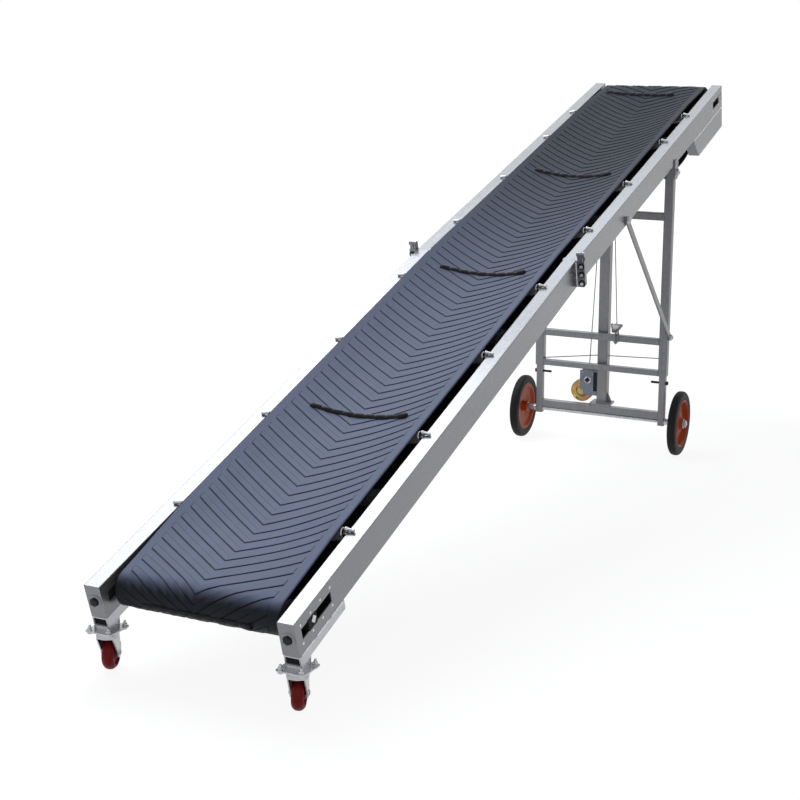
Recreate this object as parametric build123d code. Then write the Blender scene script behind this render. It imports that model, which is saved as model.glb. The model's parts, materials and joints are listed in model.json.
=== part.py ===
"""Portable folding belt conveyor: two box-rail sections hinged in the middle, a troughed cleated belt on
hung idler rollers, swivel casters at the tail and a winched telescopic leg on two wheels."""
import os
from math import atan2, cos, degrees, hypot, radians, sin, sqrt

from build123d import *

# X runs to the head, Y to the left, Z up. Millimetres and degrees.
# In a section's frame s runs along the rails from the fold, t across to the left, n up from the rail tops.
# A place along a section counts from the fold, or from the section's own end where it is negative.

# Side frames
TAIL_PITCH = 19.6
HEAD_PITCH = 17.9
TAIL_LEN = 2235.0
HEAD_LEN = 2245.0
TAIL_END_Z = 267.8
RAIL_W = 50.0
RAIL_H = 105.0
RAIL_WALL = 4.0
RAIL_EDGE = 3.0
END_T = 6.0
SLOT_LEN = 164.0
SLOT_H = 32.0
SLOT_DOWN = 50.0
SLOT_IN = {"tail": 28.0, "head": 14.0}
CROSS_H = 40.0
CROSS_WALL = 3.0
CROSS_DOWN = 48.0
CROSS_AT = {"tail": (520.0, -675.0), "head": (550.0, -685.0)}

# Fold joint
FLANGE_T = 10.0
FLANGE_GAP = 1.0
FLANGE_OUT = 32.0
FLANGE_IN = 2.0
FLANGE_CORNER = 8.0
HINGE_N = 22.0
KNUCKLE_R = 9.0
KNUCKLE_OFF = 2.0
KNUCKLE_SPLIT = 0.5
PIN_R = 5.0
PIN_FIT = 0.05

# Belt and drums
BELT_W = 500.0
BELT_T = 8.0
BELT_SIDE_GAP = 20.0
BELT_EDGE_N = 19.0
BELT_SAG = 47.0
BELT_END_GAP = 6.0
TRANSITION = 325.0
DRUM_LEAD = 16.0
FLAT_SAG = 0.4
DRUM_R = 45.0
DRUM_OVER = 5.0
DRUM_IN = {"tail": 85.0, "head": 50.0}
SHAFT_R = 12.5
SHAFT_SHORT = 6.0
TAKE_UP_L = 44.0
TAKE_UP_PROUD = 2.0
SCREW_R = 8.0
SCREW_HEAD_R = 11.0
SCREW_HEAD_L = 9.0
BEARING_L = 48.0
RETURN_SAG = 130.0
RETURN_LEAD = 10.0
CLEAT_H = 12.0
CLEAT_L = 18.0
CLEAT_MARGIN = 82.0
CLEAT_LOBES = 9
CLEAT_NOTCH_W = 11.0
CLEAT_NOTCH_H = 5.0
CLEAT_ROOT = 3.0
CLEAT_AT = {"tail": (130.0, -1035.0), "head": (945.0, -167.0)}
RETURN_CLEAT_AT = {"tail": (610.0, -545.0), "head": (460.0,)}
WRAP_CLEAT_TURN = 49.0

# Hung idlers and return rollers
IDLER_R = 17.0
IDLER_ROD_R = 5.0
IDLER_KNUCKLE = 1.5
IDLER_CENTRE_L = 180.0
IDLER_SPACE = 10.0
IDLER_PAST_BELT = 2.0
IDLER_STUB = 7.0
HOOK_OFF = 4.0
HOOK_UP = 8.0
HOOK_ON = 20.0
IDLER_AT = {"tail": (250.0, 775.0, -935.0, -DRUM_IN["tail"] - TRANSITION),
            "head": (290.0, 815.0, -880.0, -500.0)}
RETURN_R = 19.0
RETURN_PIN_R = 6.0
RETURN_PIN_OUT = 4.0
RETURN_EAR_L = 28.0
RETURN_EAR_T = 14.0
RETURN_EAR_OFF = 10.0
RETURN_EAR_LOW = 12.0
RETURN_AT = {"tail": 45.0, "head": -945.0}

# Head brackets
BOX_H = 100.0
BOX_TOP_LEN = 545.0
BOX_LOW_LEN = 455.0
BOX_WALL = 4.0

# Upper leg frame, heights measured up the leg from the axle
LEG_LEAN = 5.57
LEG_AT = -870.0
POST = 40.0
POST_WALL = 3.0
POST_V = 3.0
POST_LOW = 219.0
POST_CORNER = 4.0
BAR_V = 30.0
BAR_WALL = 2.5
BAR_CORNER = 3.0
LOW_BAR = (219.0, 26.0)
MID_BAR = (366.0, 30.0)
TOP_BAR_DOWN = 253.0
TOP_BAR_H = 35.0
LUG_T = 6.0
LUG_W = 52.0
LUG_DOWN = 66.0
LUG_UP = 22.0
LUG_CORNER = 10.0
LUG_BOLT_DOWN = 28.0
LUG_BOLT_OUT = 10.0
BOLT_R = 8.0
BRACE_W = 28.0
BRACE_T = 8.0
BRACE_BACK = 755.0
BRACE_RAIL_N = -80.0
BRACE_POST_U = 404.0
BRACE_BOLT_OUT = 7.0
ANCHOR_T = -62.0
ANCHOR_W = 16.0
ANCHOR_L = 34.0
ANCHOR_IN = 6.0
ANCHOR_H = 20.0

# Lower leg frame
INNER = 30.0
INNER_WALL = 2.5
INNER_CORNER = 2.0
INNER_LOW = -20.0
INNER_DOWN = 196.0
LOWER_BAR_U = 9.4
LOWER_BAR_H = 34.6
PIN_U = 185.0
LOCK_R = 5.0
LOCK_IN = 40.0
LOCK_OUT = 5.0
LOCK_HEAD_L = 4.0
LOCK_HEAD_R = 9.0
CENTRE = 48.0
CENTRE_GAP = 8.0
CENTRE_DOWN = 236.0
FOOT_T = 8.0
FOOT_W = 100.0
FOOT_PAST = 6.0
GUSSET_W = 22.0
GUSSET_H = 52.0
GUSSET_T = 6.0
SHEAVE_DOWN = 186.0
SHEAVE_R = 30.0
SHEAVE_LIP = 5.0
SHEAVE_W = 20.0
SHEAVE_GROOVE = 6.0
SHEAVE_PIN_R = 8.0
CHEEK_T = 6.0
ROPE_R = 2.5
ROPE_SET = 2.0
ROPE_GAP = 0.3
WINCH_T = 101.0
WINCH_U = 98.0
WINCH_IN = 2.0
WINCH_PLATE = 5.0
WINCH_BACK_T = 6.0
WINCH_BACK_LOW = 10.0
WINCH_PAST = 7.0
WINCH_LOW = 16.0
WINCH_HIGH = 104.0
WINCH_CHAMFER = 20.0
WINCH_TIE = (84.0, 14.0, 4.0)
WINCH_SHAFT_UP = 58.0
WINCH_SHAFT_IN = 31.0
WINCH_SHAFT_R = 9.0
WINCH_SHAFT_OUT = 8.0
WINCH_FLANGE_R = 53.0
WINCH_FLANGE_T = 3.0
WINCH_FLANGE_IN = 9.0
WINCH_CORE_R = 24.0
WINCH_PIN_R = 8.0
WINCH_PIN_OUT = 6.0

# Rear wheels
WHEEL_D = 300.0
WHEEL_W = 40.0
WHEEL_OFF = 63.5
RIM_R = 112.0
RIM_SEAT_W = 34.0
RIM_LIP = 11.0
RIM_DISH = 18.0
DISC_T = 6.0
AXLE_R = 9.0
AXLE_FIT = 0.05
AXLE_OUT = 12.0
COLLAR = 6.0
COLLAR_L = 10.0
COLLAR_GAP = 0.5
HUB_R = 24.0
HUB_L = 46.0
CROWN = 4.5
TREAD_W = 29.0

# Casters
CASTER_IN = 25.0
CASTER_X_IN = 70.0
CASTER_H = 130.0
CASTER_R = 48.0
CASTER_W = 34.0
CASTER_HUB_R = 15.0
CASTER_TREAD = 11.0
CASTER_RECESS = 7.0
CASTER_ROUND = 7.0
CASTER_TRAIL = 35.0
CASTER_TURN = 20.0
CASTER_PIN_R = 6.0
CASTER_PIN_OUT = 9.0
STEM_R = 8.0
STEM_UP = 6.0
STEM_HOLE = 18.0
RACE_R = 30.0
RACE_H = 20.0
RACE_GAP = 2.0
YOKE = (-26.0, 30.0)
YOKE_DOWN = 10.0
YOKE_H = 12.0
FORK_GAP = 3.0
FORK_T = 4.0
FORK_END_R = 14.0
LOW_TUBE_H = 30.0
LOW_TUBE_L = 253.0
LOW_TUBE_WALL = 4.0
LOW_TUBE_CORNER = 1.0
LOW_TUBE_IN = 2.0
FOOT_BLOCK = 56.0
FOOT_BLOCK_H = 80.0
FOOT_BLOCK_IN = 2.0
PLATE_T = 4.0
PLATE_L = 96.0
PLATE_W = 84.0
PLATE_CORNER = 10.0
PLATE_X = 76.0
PLATE_Y = 60.0
PLATE_HOLE_R = 4.5

# Overshoot of cuts
CUT = 1.0
PAST_FOLD = 60.0
FAR = TAIL_LEN + HEAD_LEN

SIDES = {"right": -1, "left": 1}
WAY = {"tail": -1, "head": 1}
LENGTH = {"tail": TAIL_LEN, "head": HEAD_LEN}
INSIDE = BELT_W / 2 + BELT_SIDE_GAP
HALF = INSIDE + RAIL_W
SLOT_N = -SLOT_DOWN
DRUM_TOP = SLOT_N + DRUM_R + BELT_T
RETURN_N = SLOT_N - DRUM_R
FOLD_Z = TAIL_END_Z + TAIL_LEN * sin(radians(TAIL_PITCH))


def tilted(x, z, pitch):
    """Frame whose first axis climbs at the pitch and whose second is Y."""
    a = radians(pitch)
    return Plane(origin=(x, 0, z), x_dir=(cos(a), 0, sin(a)), z_dir=(-sin(a), 0, cos(a))).location


TAIL = tilted(0, FOLD_Z, TAIL_PITCH)
HEAD = tilted(0, FOLD_Z, HEAD_PITCH)
FOLD = tilted(0, FOLD_Z, (TAIL_PITCH + HEAD_PITCH) / 2)
FRAMES = {"tail": TAIL, "head": HEAD}


def place(half, d):
    """Place along a section, from the fold if positive and from the section's end if negative."""
    return WAY[half] * (d if d >= 0 else LENGTH[half] + d)


def at(frame, s, t, n):
    return (frame * Pos(s, t, n)).position


def block(s0, s1, t0, t1, n0, n1):
    """Box between two corners given in any order."""
    size = Box(abs(s1 - s0), abs(t1 - t0), abs(n1 - n0))
    return Pos((s0 + s1) / 2, (t0 + t1) / 2, (n0 + n1) / 2) * size


def rounded(s0, s1, t0, t1, n0, n1, axis, corner):
    """Box whose edges along one axis are rounded."""
    shape = block(s0, s1, t0, t1, n0, n1)
    return fillet(shape.edges().filter_by({"s": Axis.X, "t": Axis.Y, "n": Axis.Z}[axis]), corner)


def tube(s0, s1, t0, t1, n0, n1, wall, axis, corner):
    """Oblong tube with rounded corners, open at both ends along the named axis."""
    spans = [sorted(pair) for pair in ((s0, s1), (t0, t1), (n0, n1))]
    inner = []
    for name, (low, high) in zip("stn", spans):
        inner += [low - CUT, high + CUT] if name == axis else [low + wall, high - wall]
    return rounded(s0, s1, t0, t1, n0, n1, axis, corner) - block(*inner)


def bar(p, q, r):
    """Round bar from point p to point q."""
    p, q = Vector(*p), Vector(*q)
    along = q - p
    rod = Cylinder(r, along.length, align=(Align.CENTER, Align.CENTER, Align.MIN))
    return Plane(origin=p, z_dir=along).location * rod


def cross_rod(r, t0, t1, s=0.0, n=0.0):
    return bar((s, min(t0, t1), n), (s, max(t0, t1), n), r)


def sheet(points, t0, t1):
    """Prism over an outline in the frame's first and third axes."""
    low, high = min(t0, t1), max(t0, t1)
    plane = Plane(origin=(0, high, 0), x_dir=(1, 0, 0), z_dir=(0, -1, 0))
    return extrude(plane * make_face(Polyline(*points, close=True)), amount=high - low, dir=(0, -1, 0))


def plate(points, s0, s1):
    """Prism over an outline in the frame's second and third axes."""
    face = Plane.YZ.offset(s0) * make_face(Polyline(*points, close=True))
    return extrude(face, amount=s1 - s0, dir=(1, 0, 0))


def turned(lines):
    """Ring about the second axis from an outline of radius and side place."""
    return revolve(make_face(lines), Axis.Y)


def beyond_fold(half, gap):
    """All space on the far side of a section's end at the fold."""
    way = WAY[half]
    return FOLD * block(way * gap, -way * FAR, -FAR, FAR, -FAR, FAR)


parts = {}

# Side rails with closed ends and drum slots
DRUM_S = {half: place(half, -inset) for half, inset in DRUM_IN.items()}
SLOT_LOW, SLOT_HIGH = SLOT_N - SLOT_H / 2, SLOT_N + SLOT_H / 2
for half, way in WAY.items():
    end = way * LENGTH[half]
    slot = end - way * SLOT_IN[half]
    for name, side in SIDES.items():
        inn, out, mid = side * INSIDE, side * HALF, side * (HALF - RAIL_W / 2)
        rail = tube(end, -way * PAST_FOLD, inn, out, -RAIL_H, 0, RAIL_WALL, "s", RAIL_EDGE)
        rail += rounded(end, end - way * END_T, inn, out, -RAIL_H, 0, "s", RAIL_EDGE)
        rail -= block(slot, slot - way * SLOT_LEN, inn - side * CUT, out + side * CUT, SLOT_LOW, SLOT_HIGH)
        if half == "tail":
            rail -= bar((end - CUT, mid, SLOT_N), (slot, mid, SLOT_N), SCREW_R)
        else:
            drum = DRUM_S[half]
            shoe = block(drum - BEARING_L / 2, drum + BEARING_L / 2, inn, out + side * TAKE_UP_PROUD,
                         SLOT_LOW, SLOT_HIGH)
            rail += shoe - cross_rod(SHAFT_R, inn - side * CUT, out - side * SHAFT_SHORT, drum, SLOT_N)
        parts[f"{half}_rail_{name}"] = FRAMES[half] * rail - beyond_fold(half, FLANGE_T)

# Fold flanges with interleaved hinge knuckles, the pin fixed in the head's pair
KNUCKLE_IN = HALF + KNUCKLE_OFF
KNUCKLE_OUT = HALF + FLANGE_OUT
KNUCKLE_W = (KNUCKLE_OUT - KNUCKLE_IN) / 3
for name, side in SIDES.items():
    edges = [side * (KNUCKLE_IN + KNUCKLE_W * k) for k in range(4)]
    slack = side * KNUCKLE_SPLIT / 2
    knuckles = {"tail": [(edges[1] + slack, edges[2] - slack)],
                "head": [(edges[0], edges[1] - slack), (edges[2] + slack, edges[3])]}
    for half, way in WAY.items():
        near, far = way * FLANGE_GAP / 2, way * FLANGE_T
        flange = block(near, far, side * (INSIDE - FLANGE_IN), side * KNUCKLE_OUT, -RAIL_H, 0)
        low_edges = flange.edges().filter_by(Axis.X).group_by(Axis.Z)[0].sort_by(Axis.Y)
        flange = fillet(low_edges[-1 if side > 0 else 0], FLANGE_CORNER)
        for t0, t1 in knuckles[half]:
            flange += block(near, far, t0, t1, -CUT, HINGE_N)
            flange += cross_rod(KNUCKLE_R, t0, t1, 0, HINGE_N)
        if half == "tail":
            flange -= cross_rod(PIN_R + PIN_FIT, edges[1], edges[2], 0, HINGE_N)
        else:
            flange += cross_rod(PIN_R, edges[0], edges[3], 0, HINGE_N)
        parts[f"{half}_flange_{name}"] = FOLD * flange

# Cross tubes between the rails, between the carrying and the return strand
for half in WAY:
    for k, d in enumerate(sorted(CROSS_AT[half], key=lambda d: place(half, d)), 1):
        s = place(half, d)
        shape = tube(s - CROSS_H / 2, s + CROSS_H / 2, -INSIDE, INSIDE, -CROSS_DOWN - CROSS_H, -CROSS_DOWN,
                     CROSS_WALL, "t", BAR_CORNER)
        parts[f"{half}_cross_tube_{k}"] = FRAMES[half] * shape

# Belt: a shallow trough that flattens onto the drums
ARC_R = ((BELT_W / 2) ** 2 + BELT_SAG ** 2) / (2 * BELT_SAG)
CLEAT_W = BELT_W - 2 * CLEAT_MARGIN
CLEAT_PITCH = CLEAT_W / CLEAT_LOBES
NOTCHES = [CLEAT_PITCH * k - CLEAT_W / 2 for k in range(1, CLEAT_LOBES)]
SAG_FROM = place("head", RETURN_AT["head"]) + RETURN_LEAD


def trough(t, sag=BELT_SAG, edge=BELT_EDGE_N):
    """Height of the belt's top at the lateral place t."""
    r = ((BELT_W / 2) ** 2 + sag ** 2) / (2 * sag)
    return edge - sag + r - sqrt(r * r - t * t)


def band(s, half, sag, edge, low, high):
    """Curved strip across the belt, from low to high over its top surface."""
    e, m = trough(half, sag, edge), edge - sag
    line = ThreePointArc((-half, e + high), (0, m + high), (half, e + high))
    line += Line((half, e + high), (half, e + low))
    line += ThreePointArc((half, e + low), (0, m + low), (-half, e + low))
    line += Line((-half, e + low), (-half, e + high))
    return Plane(origin=(s, 0, 0), x_dir=(0, 1, 0), z_dir=(1, 0, 0)) * make_face(line)


def settle(s, drum_s):
    """Sag and edge height of the belt at a distance from its drum."""
    f = min(1.0, abs(s - drum_s) / TRANSITION)
    return max(FLAT_SAG, f * BELT_SAG), DRUM_TOP + f * (BELT_EDGE_N - DRUM_TOP)


def notches(s, tops, way):
    """Gaps between a cleat's lobes, cut down from its crest; way is the crest's side."""
    rows = zip(NOTCHES, tops)
    return [block(s - CLEAT_L, s + CLEAT_L, t - CLEAT_NOTCH_W / 2, t + CLEAT_NOTCH_W / 2,
                  top - way * CLEAT_NOTCH_H, top + way * CLEAT_H) for t, top in rows]


def carry_cleat(s, drum_s):
    sag, edge = settle(s, drum_s)
    profile = band(s - CLEAT_L / 2, CLEAT_W / 2, sag, edge, -CLEAT_ROOT, CLEAT_H)
    strip = extrude(profile, CLEAT_L, dir=(1, 0, 0))
    return strip - notches(s, [trough(t, sag, edge) + CLEAT_H for t in NOTCHES], 1)


def return_cleat(s):
    low, half = RETURN_N - BELT_T, CLEAT_L / 2
    strip = block(s - half, s + half, -CLEAT_W / 2, CLEAT_W / 2, low - CLEAT_H, low + CLEAT_ROOT)
    return strip - notches(s, [low - CLEAT_H] * len(NOTCHES), -1)


def wrap_cleat(drum_s):
    """Cleat part of the way up the tail drum, turned there from its underside."""
    strip = Pos(-drum_s, 0, -SLOT_N) * return_cleat(drum_s)
    return Pos(drum_s, 0, SLOT_N) * Rot(0, WRAP_CLEAT_TURN, 0) * strip


def sagging_return(drum_s):
    """Return strand that hangs in an arc from its last roller to the head drum."""
    hang = [(SAG_FROM, 0), ((SAG_FROM + drum_s) / 2, -RETURN_SAG), (drum_s, 0)]
    line = ThreePointArc(*[(s, RETURN_N + n) for s, n in hang])
    line += Line((drum_s, RETURN_N), (drum_s, RETURN_N - BELT_T))
    line += ThreePointArc(*[(s, RETURN_N - BELT_T + n) for s, n in reversed(hang)])
    line += Line((SAG_FROM, RETURN_N - BELT_T), (SAG_FROM, RETURN_N))
    face = Plane(origin=(0, BELT_W / 2, 0), x_dir=(1, 0, 0), z_dir=(0, -1, 0)) * make_face(line)
    return extrude(face, amount=BELT_W, dir=(0, -1, 0))


def belt_half(half):
    """One section's share of the loop: drum wrap, flattening lead, trough, return strand and cleats."""
    way, drum_s, w = WAY[half], DRUM_S[half], BELT_W / 2
    knee, lead = drum_s - way * TRANSITION, drum_s - way * DRUM_LEAD
    past = DRUM_R + BELT_T + CUT
    ring = Cylinder(DRUM_R + BELT_T, BELT_W) - Cylinder(DRUM_R, BELT_W + CUT)
    loop = Pos(drum_s, 0, SLOT_N) * Rot(90, 0, 0) * ring
    loop &= block(drum_s, drum_s + way * past, -w, w, SLOT_N - past, SLOT_N + past)
    loop += block(drum_s, lead, -w, w, DRUM_TOP - BELT_T, DRUM_TOP)
    trough_band = band(knee, w, BELT_SAG, BELT_EDGE_N, -BELT_T, 0)
    loop += loft([band(lead, w, FLAT_SAG, DRUM_TOP + FLAT_SAG, -BELT_T, 0), trough_band], ruled=True)
    loop += extrude(trough_band, amount=abs(knee) + PAST_FOLD, dir=(-way, 0, 0))
    flat_end = drum_s if half == "tail" else SAG_FROM
    loop += block(flat_end, -way * PAST_FOLD, -w, w, RETURN_N - BELT_T, RETURN_N)
    loop += sagging_return(drum_s) if half == "head" else wrap_cleat(drum_s)
    for d in CLEAT_AT[half]:
        loop += carry_cleat(place(half, d), drum_s)
    for d in RETURN_CLEAT_AT[half]:
        loop += return_cleat(place(half, d))
    return FRAMES[half] * loop - beyond_fold(half, BELT_END_GAP)


for half in WAY:
    parts[f"belt_{half}_half"] = belt_half(half)

# Drums on their shafts, and the tail's take-up blocks with their screws
for half, s in DRUM_S.items():
    drum = cross_rod(DRUM_R, -BELT_W / 2 - DRUM_OVER, BELT_W / 2 + DRUM_OVER, s, SLOT_N)
    drum += cross_rod(SHAFT_R, SHAFT_SHORT - HALF, HALF - SHAFT_SHORT, s, SLOT_N)
    parts[half + "_drum"] = FRAMES[half] * drum
for name, side in SIDES.items():
    s, mid = DRUM_S["tail"], side * (HALF - RAIL_W / 2)
    shape = block(s - TAKE_UP_L / 2, s + TAKE_UP_L / 2, side * (INSIDE - TAKE_UP_PROUD),
                  side * (HALF + TAKE_UP_PROUD), SLOT_LOW, SLOT_HIGH)
    shape -= cross_rod(SHAFT_R, side * (INSIDE - TAKE_UP_PROUD - CUT), side * (HALF - SHAFT_SHORT), s, SLOT_N)
    shape += bar((-TAIL_LEN - CUT, mid, SLOT_N), (s - TAKE_UP_L / 2 + CUT, mid, SLOT_N), SCREW_R)
    shape += bar((-TAIL_LEN - SCREW_HEAD_L, mid, SLOT_N), (-TAIL_LEN, mid, SLOT_N), SCREW_HEAD_R)
    parts["take_up_" + name] = TAIL * shape

# Hung idlers: three rollers on a bent rod whose ends hook over the rails
WING_IN = IDLER_CENTRE_L / 2 + IDLER_SPACE
WING_OUT = BELT_W / 2 + IDLER_PAST_BELT
WING_T = (WING_IN + WING_OUT) / 2
WING_A = atan2(WING_T, sqrt(ARC_R ** 2 - WING_T ** 2))
WING_L = (WING_OUT - WING_IN) / cos(WING_A)


def wing_point(along):
    """Point of the wing roller's axis, counted from the roller's middle outwards."""
    t = WING_T + along * cos(WING_A) + IDLER_R * sin(WING_A)
    n = trough(WING_T) - BELT_T + along * sin(WING_A) - IDLER_R * cos(WING_A)
    return t, n


def idler():
    low = trough(0) - BELT_T - IDLER_R
    inner, outer, stub = [wing_point(d) for d in (-WING_L / 2, WING_L / 2, WING_L / 2 + IDLER_STUB)]
    hook = [(INSIDE - HOOK_OFF, HOOK_UP), (INSIDE + HOOK_ON, IDLER_ROD_R)]
    path = [(IDLER_CENTRE_L / 2 - HOOK_OFF, low), inner, stub] + hook
    shape = cross_rod(IDLER_R, -IDLER_CENTRE_L / 2, IDLER_CENTRE_L / 2, 0, low)
    for side in SIDES.values():
        bends = [(0, side * t, n) for t, n in path]
        for p, q in zip(bends, bends[1:]):
            shape += bar(p, q, IDLER_ROD_R)
        for p in bends[1:-1]:
            shape += Pos(*p) * Sphere(IDLER_ROD_R + IDLER_KNUCKLE)
        shape += bar((0, side * inner[0], inner[1]), (0, side * outer[0], outer[1]), IDLER_R)
    return shape


IDLER = idler()
stations = [(place(half, d), half) for half in WAY for d in IDLER_AT[half]]
for k, (s, half) in enumerate(sorted(stations), 1):
    parts[f"idler_{k}"] = FRAMES[half] * Pos(s, 0, 0) * IDLER

# Return rollers in ears under the rails
for half, d in RETURN_AT.items():
    s = place(half, d)
    axis = RETURN_N - BELT_T - RETURN_R
    ear = INSIDE + RETURN_EAR_OFF
    shape = cross_rod(RETURN_R, -BELT_W / 2 - DRUM_OVER, BELT_W / 2 + DRUM_OVER, s, axis)
    reach = ear + RETURN_EAR_T + RETURN_PIN_OUT
    shape += cross_rod(RETURN_PIN_R, -reach, reach, s, axis)
    for side in SIDES.values():
        shape += block(s - RETURN_EAR_L / 2, s + RETURN_EAR_L / 2, side * ear, side * (ear + RETURN_EAR_T),
                       axis - RETURN_EAR_LOW, -RAIL_H)
    parts[half + "_return_roller"] = FRAMES[half] * shape

# Head brackets: channels under the rail ends, open to the inside
for name, side in SIDES.items():
    top, low, w = -RAIL_H, -RAIL_H - BOX_H, BOX_WALL
    rake = (BOX_TOP_LEN - BOX_LOW_LEN) / BOX_H
    wall = w * hypot(1, rake)
    outline = [(HEAD_LEN - BOX_TOP_LEN, top), (HEAD_LEN, top), (HEAD_LEN, low), (HEAD_LEN - BOX_LOW_LEN, low)]
    hollow = [(HEAD_LEN - BOX_TOP_LEN + wall + w * rake, top - w), (HEAD_LEN - w, top - w),
              (HEAD_LEN - w, low + w), (HEAD_LEN - BOX_LOW_LEN + wall - w * rake, low + w)]
    inn = INSIDE + LOW_TUBE_IN
    shape = sheet(outline, side * inn, side * HALF) - sheet(hollow, side * (inn - CUT), side * (HALF - w))
    parts["head_bracket_" + name] = HEAD * shape

# Upper leg frame
LEG_S = place("head", LEG_AT)
FOOT_POINT = at(HEAD, LEG_S, 0, -RAIL_H)
LEG_TOP = (FOOT_POINT.Z - WHEEL_D / 2) / cos(radians(LEG_LEAN))
AXLE_X = FOOT_POINT.X + LEG_TOP * sin(radians(LEG_LEAN))
LEG = tilted(AXLE_X, WHEEL_D / 2, LEG_LEAN)
V0, V1 = POST_V - POST / 2, POST_V + POST / 2
ABOVE_RAIL_FOOT = HEAD * block(-FAR, FAR, -FAR, FAR, -RAIL_H, FAR)
BARS = {"low": LOW_BAR, "mid": MID_BAR, "top": (LEG_TOP - TOP_BAR_DOWN, TOP_BAR_H)}
for name, side in SIDES.items():
    inn, out = side * (HALF - POST), side * HALF
    post = tube(V0, V1, inn, out, POST_LOW, LEG_TOP + POST, POST_WALL, "n", POST_CORNER)
    post -= LEG.inverse() * ABOVE_RAIL_FOOT
    for t, up in ((out, LUG_UP), (inn - side * LUG_T, -LUG_UP)):
        lug = (POST_V - LUG_W / 2, POST_V + LUG_W / 2, t, t + side * LUG_T, LEG_TOP - LUG_DOWN, LEG_TOP + up)
        post += rounded(*lug, "t", LUG_CORNER)
    post += cross_rod(BOLT_R, inn - side * (LUG_T + LUG_BOLT_OUT), out + side * (LUG_T + LUG_BOLT_OUT),
                      POST_V, LEG_TOP - LUG_BOLT_DOWN)
    parts["leg_post_" + name] = LEG * post
for name, (u, h) in BARS.items():
    wide = HALF - POST
    shape = tube(V0, V0 + BAR_V, -wide, wide, u, u + h, BAR_WALL, "t", BAR_CORNER)
    if name == "mid":
        shape += block(V0 + BAR_V, V0 + BAR_V + ANCHOR_L, ANCHOR_T - ANCHOR_W / 2, ANCHOR_T + ANCHOR_W / 2,
                       u + ANCHOR_IN, u + ANCHOR_IN + ANCHOR_H)
    parts["leg_bar_" + name] = LEG * shape
rail_end = at(HEAD, LEG_S - BRACE_BACK, 0, BRACE_RAIL_N)
post_end = at(LEG, POST_V, 0, BRACE_POST_U)
run = post_end - rail_end
BRACE = tilted(rail_end.X, rail_end.Z, degrees(atan2(run.Z, run.X)))
BRACE_LEN = hypot(run.X, run.Z)
for name, side in SIDES.items():
    t0, t1 = side * HALF, side * (HALF + BRACE_T)
    shape = block(0, BRACE_LEN, t0, t1, -BRACE_W / 2, BRACE_W / 2)
    for s in (0, BRACE_LEN):
        shape += cross_rod(BRACE_W / 2, t0, t1, s, 0)
        shape += cross_rod(BOLT_R, t0, t1 + side * BRACE_BOLT_OUT, s, 0)
    parts["leg_brace_" + name] = BRACE * shape

# Lower leg frame: inner posts with their lock pins, and the bar between them
I0, I1 = POST_V - INNER / 2, POST_V + INNER / 2
POST_GAP = (POST - INNER) / 2
for name, side in SIDES.items():
    inn, out = side * (HALF - POST + POST_GAP), side * (HALF - POST_GAP)
    post = tube(I0, I1, inn, out, INNER_LOW, LEG_TOP - INNER_DOWN, INNER_WALL, "n", INNER_CORNER)
    post -= cross_rod(AXLE_R, inn - side * CUT, out + side * CUT)
    head = out + side * LOCK_OUT
    post += cross_rod(LOCK_R, inn - side * LOCK_IN, head, POST_V, PIN_U)
    post += cross_rod(LOCK_HEAD_R, head, head + side * LOCK_HEAD_L, POST_V, PIN_U)
    parts["lower_post_" + name] = LEG * post
wide = HALF - POST + POST_GAP
parts["lower_bar"] = LEG * tube(
    I0, I1, -wide, wide, LOWER_BAR_U, LOWER_BAR_U + LOWER_BAR_H, BAR_WALL, "t", BAR_CORNER)

# Centre post behind the bars, with its foot, gusset and the cheeks of the rope sheave
C0 = V0 + BAR_V + CENTRE_GAP
C1 = C0 + CENTRE
ROPE_V = (C0 + C1) / 2
FOOT_U = LOWER_BAR_U + LOWER_BAR_H + FOOT_T
CENTRE_TOP = LEG_TOP - CENTRE_DOWN
SHEAVE_U = LEG_TOP - SHEAVE_DOWN
post = block(I0, C1 + FOOT_PAST, -FOOT_W / 2, FOOT_W / 2, FOOT_U - FOOT_T, FOOT_U)
post += tube(C0, C1, -CENTRE / 2, CENTRE / 2, FOOT_U, CENTRE_TOP, POST_WALL, "n", POST_CORNER)
web = [(-CENTRE / 2 + CUT, FOOT_U), (-CENTRE / 2 - GUSSET_W, FOOT_U), (-CENTRE / 2 + CUT, FOOT_U + GUSSET_H)]
post += plate(web, ROPE_V - GUSSET_T / 2, ROPE_V + GUSSET_T / 2)
for v in (C0, C1 - CHEEK_T):
    post += block(v, v + CHEEK_T, -CENTRE / 2, CENTRE / 2, CENTRE_TOP - POST, SHEAVE_U)
    post += bar((v, 0, SHEAVE_U), (v + CHEEK_T, 0, SHEAVE_U), CENTRE / 2)
post += bar((C0, 0, SHEAVE_U), (C1, 0, SHEAVE_U), SHEAVE_PIN_R)
parts["centre_post"] = LEG * post
groove_r = SHEAVE_R + SHEAVE_LIP
sheave = bar((ROPE_V - SHEAVE_W / 2, 0, SHEAVE_U), (ROPE_V + SHEAVE_W / 2, 0, SHEAVE_U), groove_r)
sheave -= Pos(ROPE_V, 0, SHEAVE_U) * Rot(0, 90, 0) * Torus(groove_r, SHEAVE_GROOVE)
sheave -= bar((C0, 0, SHEAVE_U), (C1, 0, SHEAVE_U), SHEAVE_PIN_R)
parts["rope_sheave"] = LEG * sheave

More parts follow.
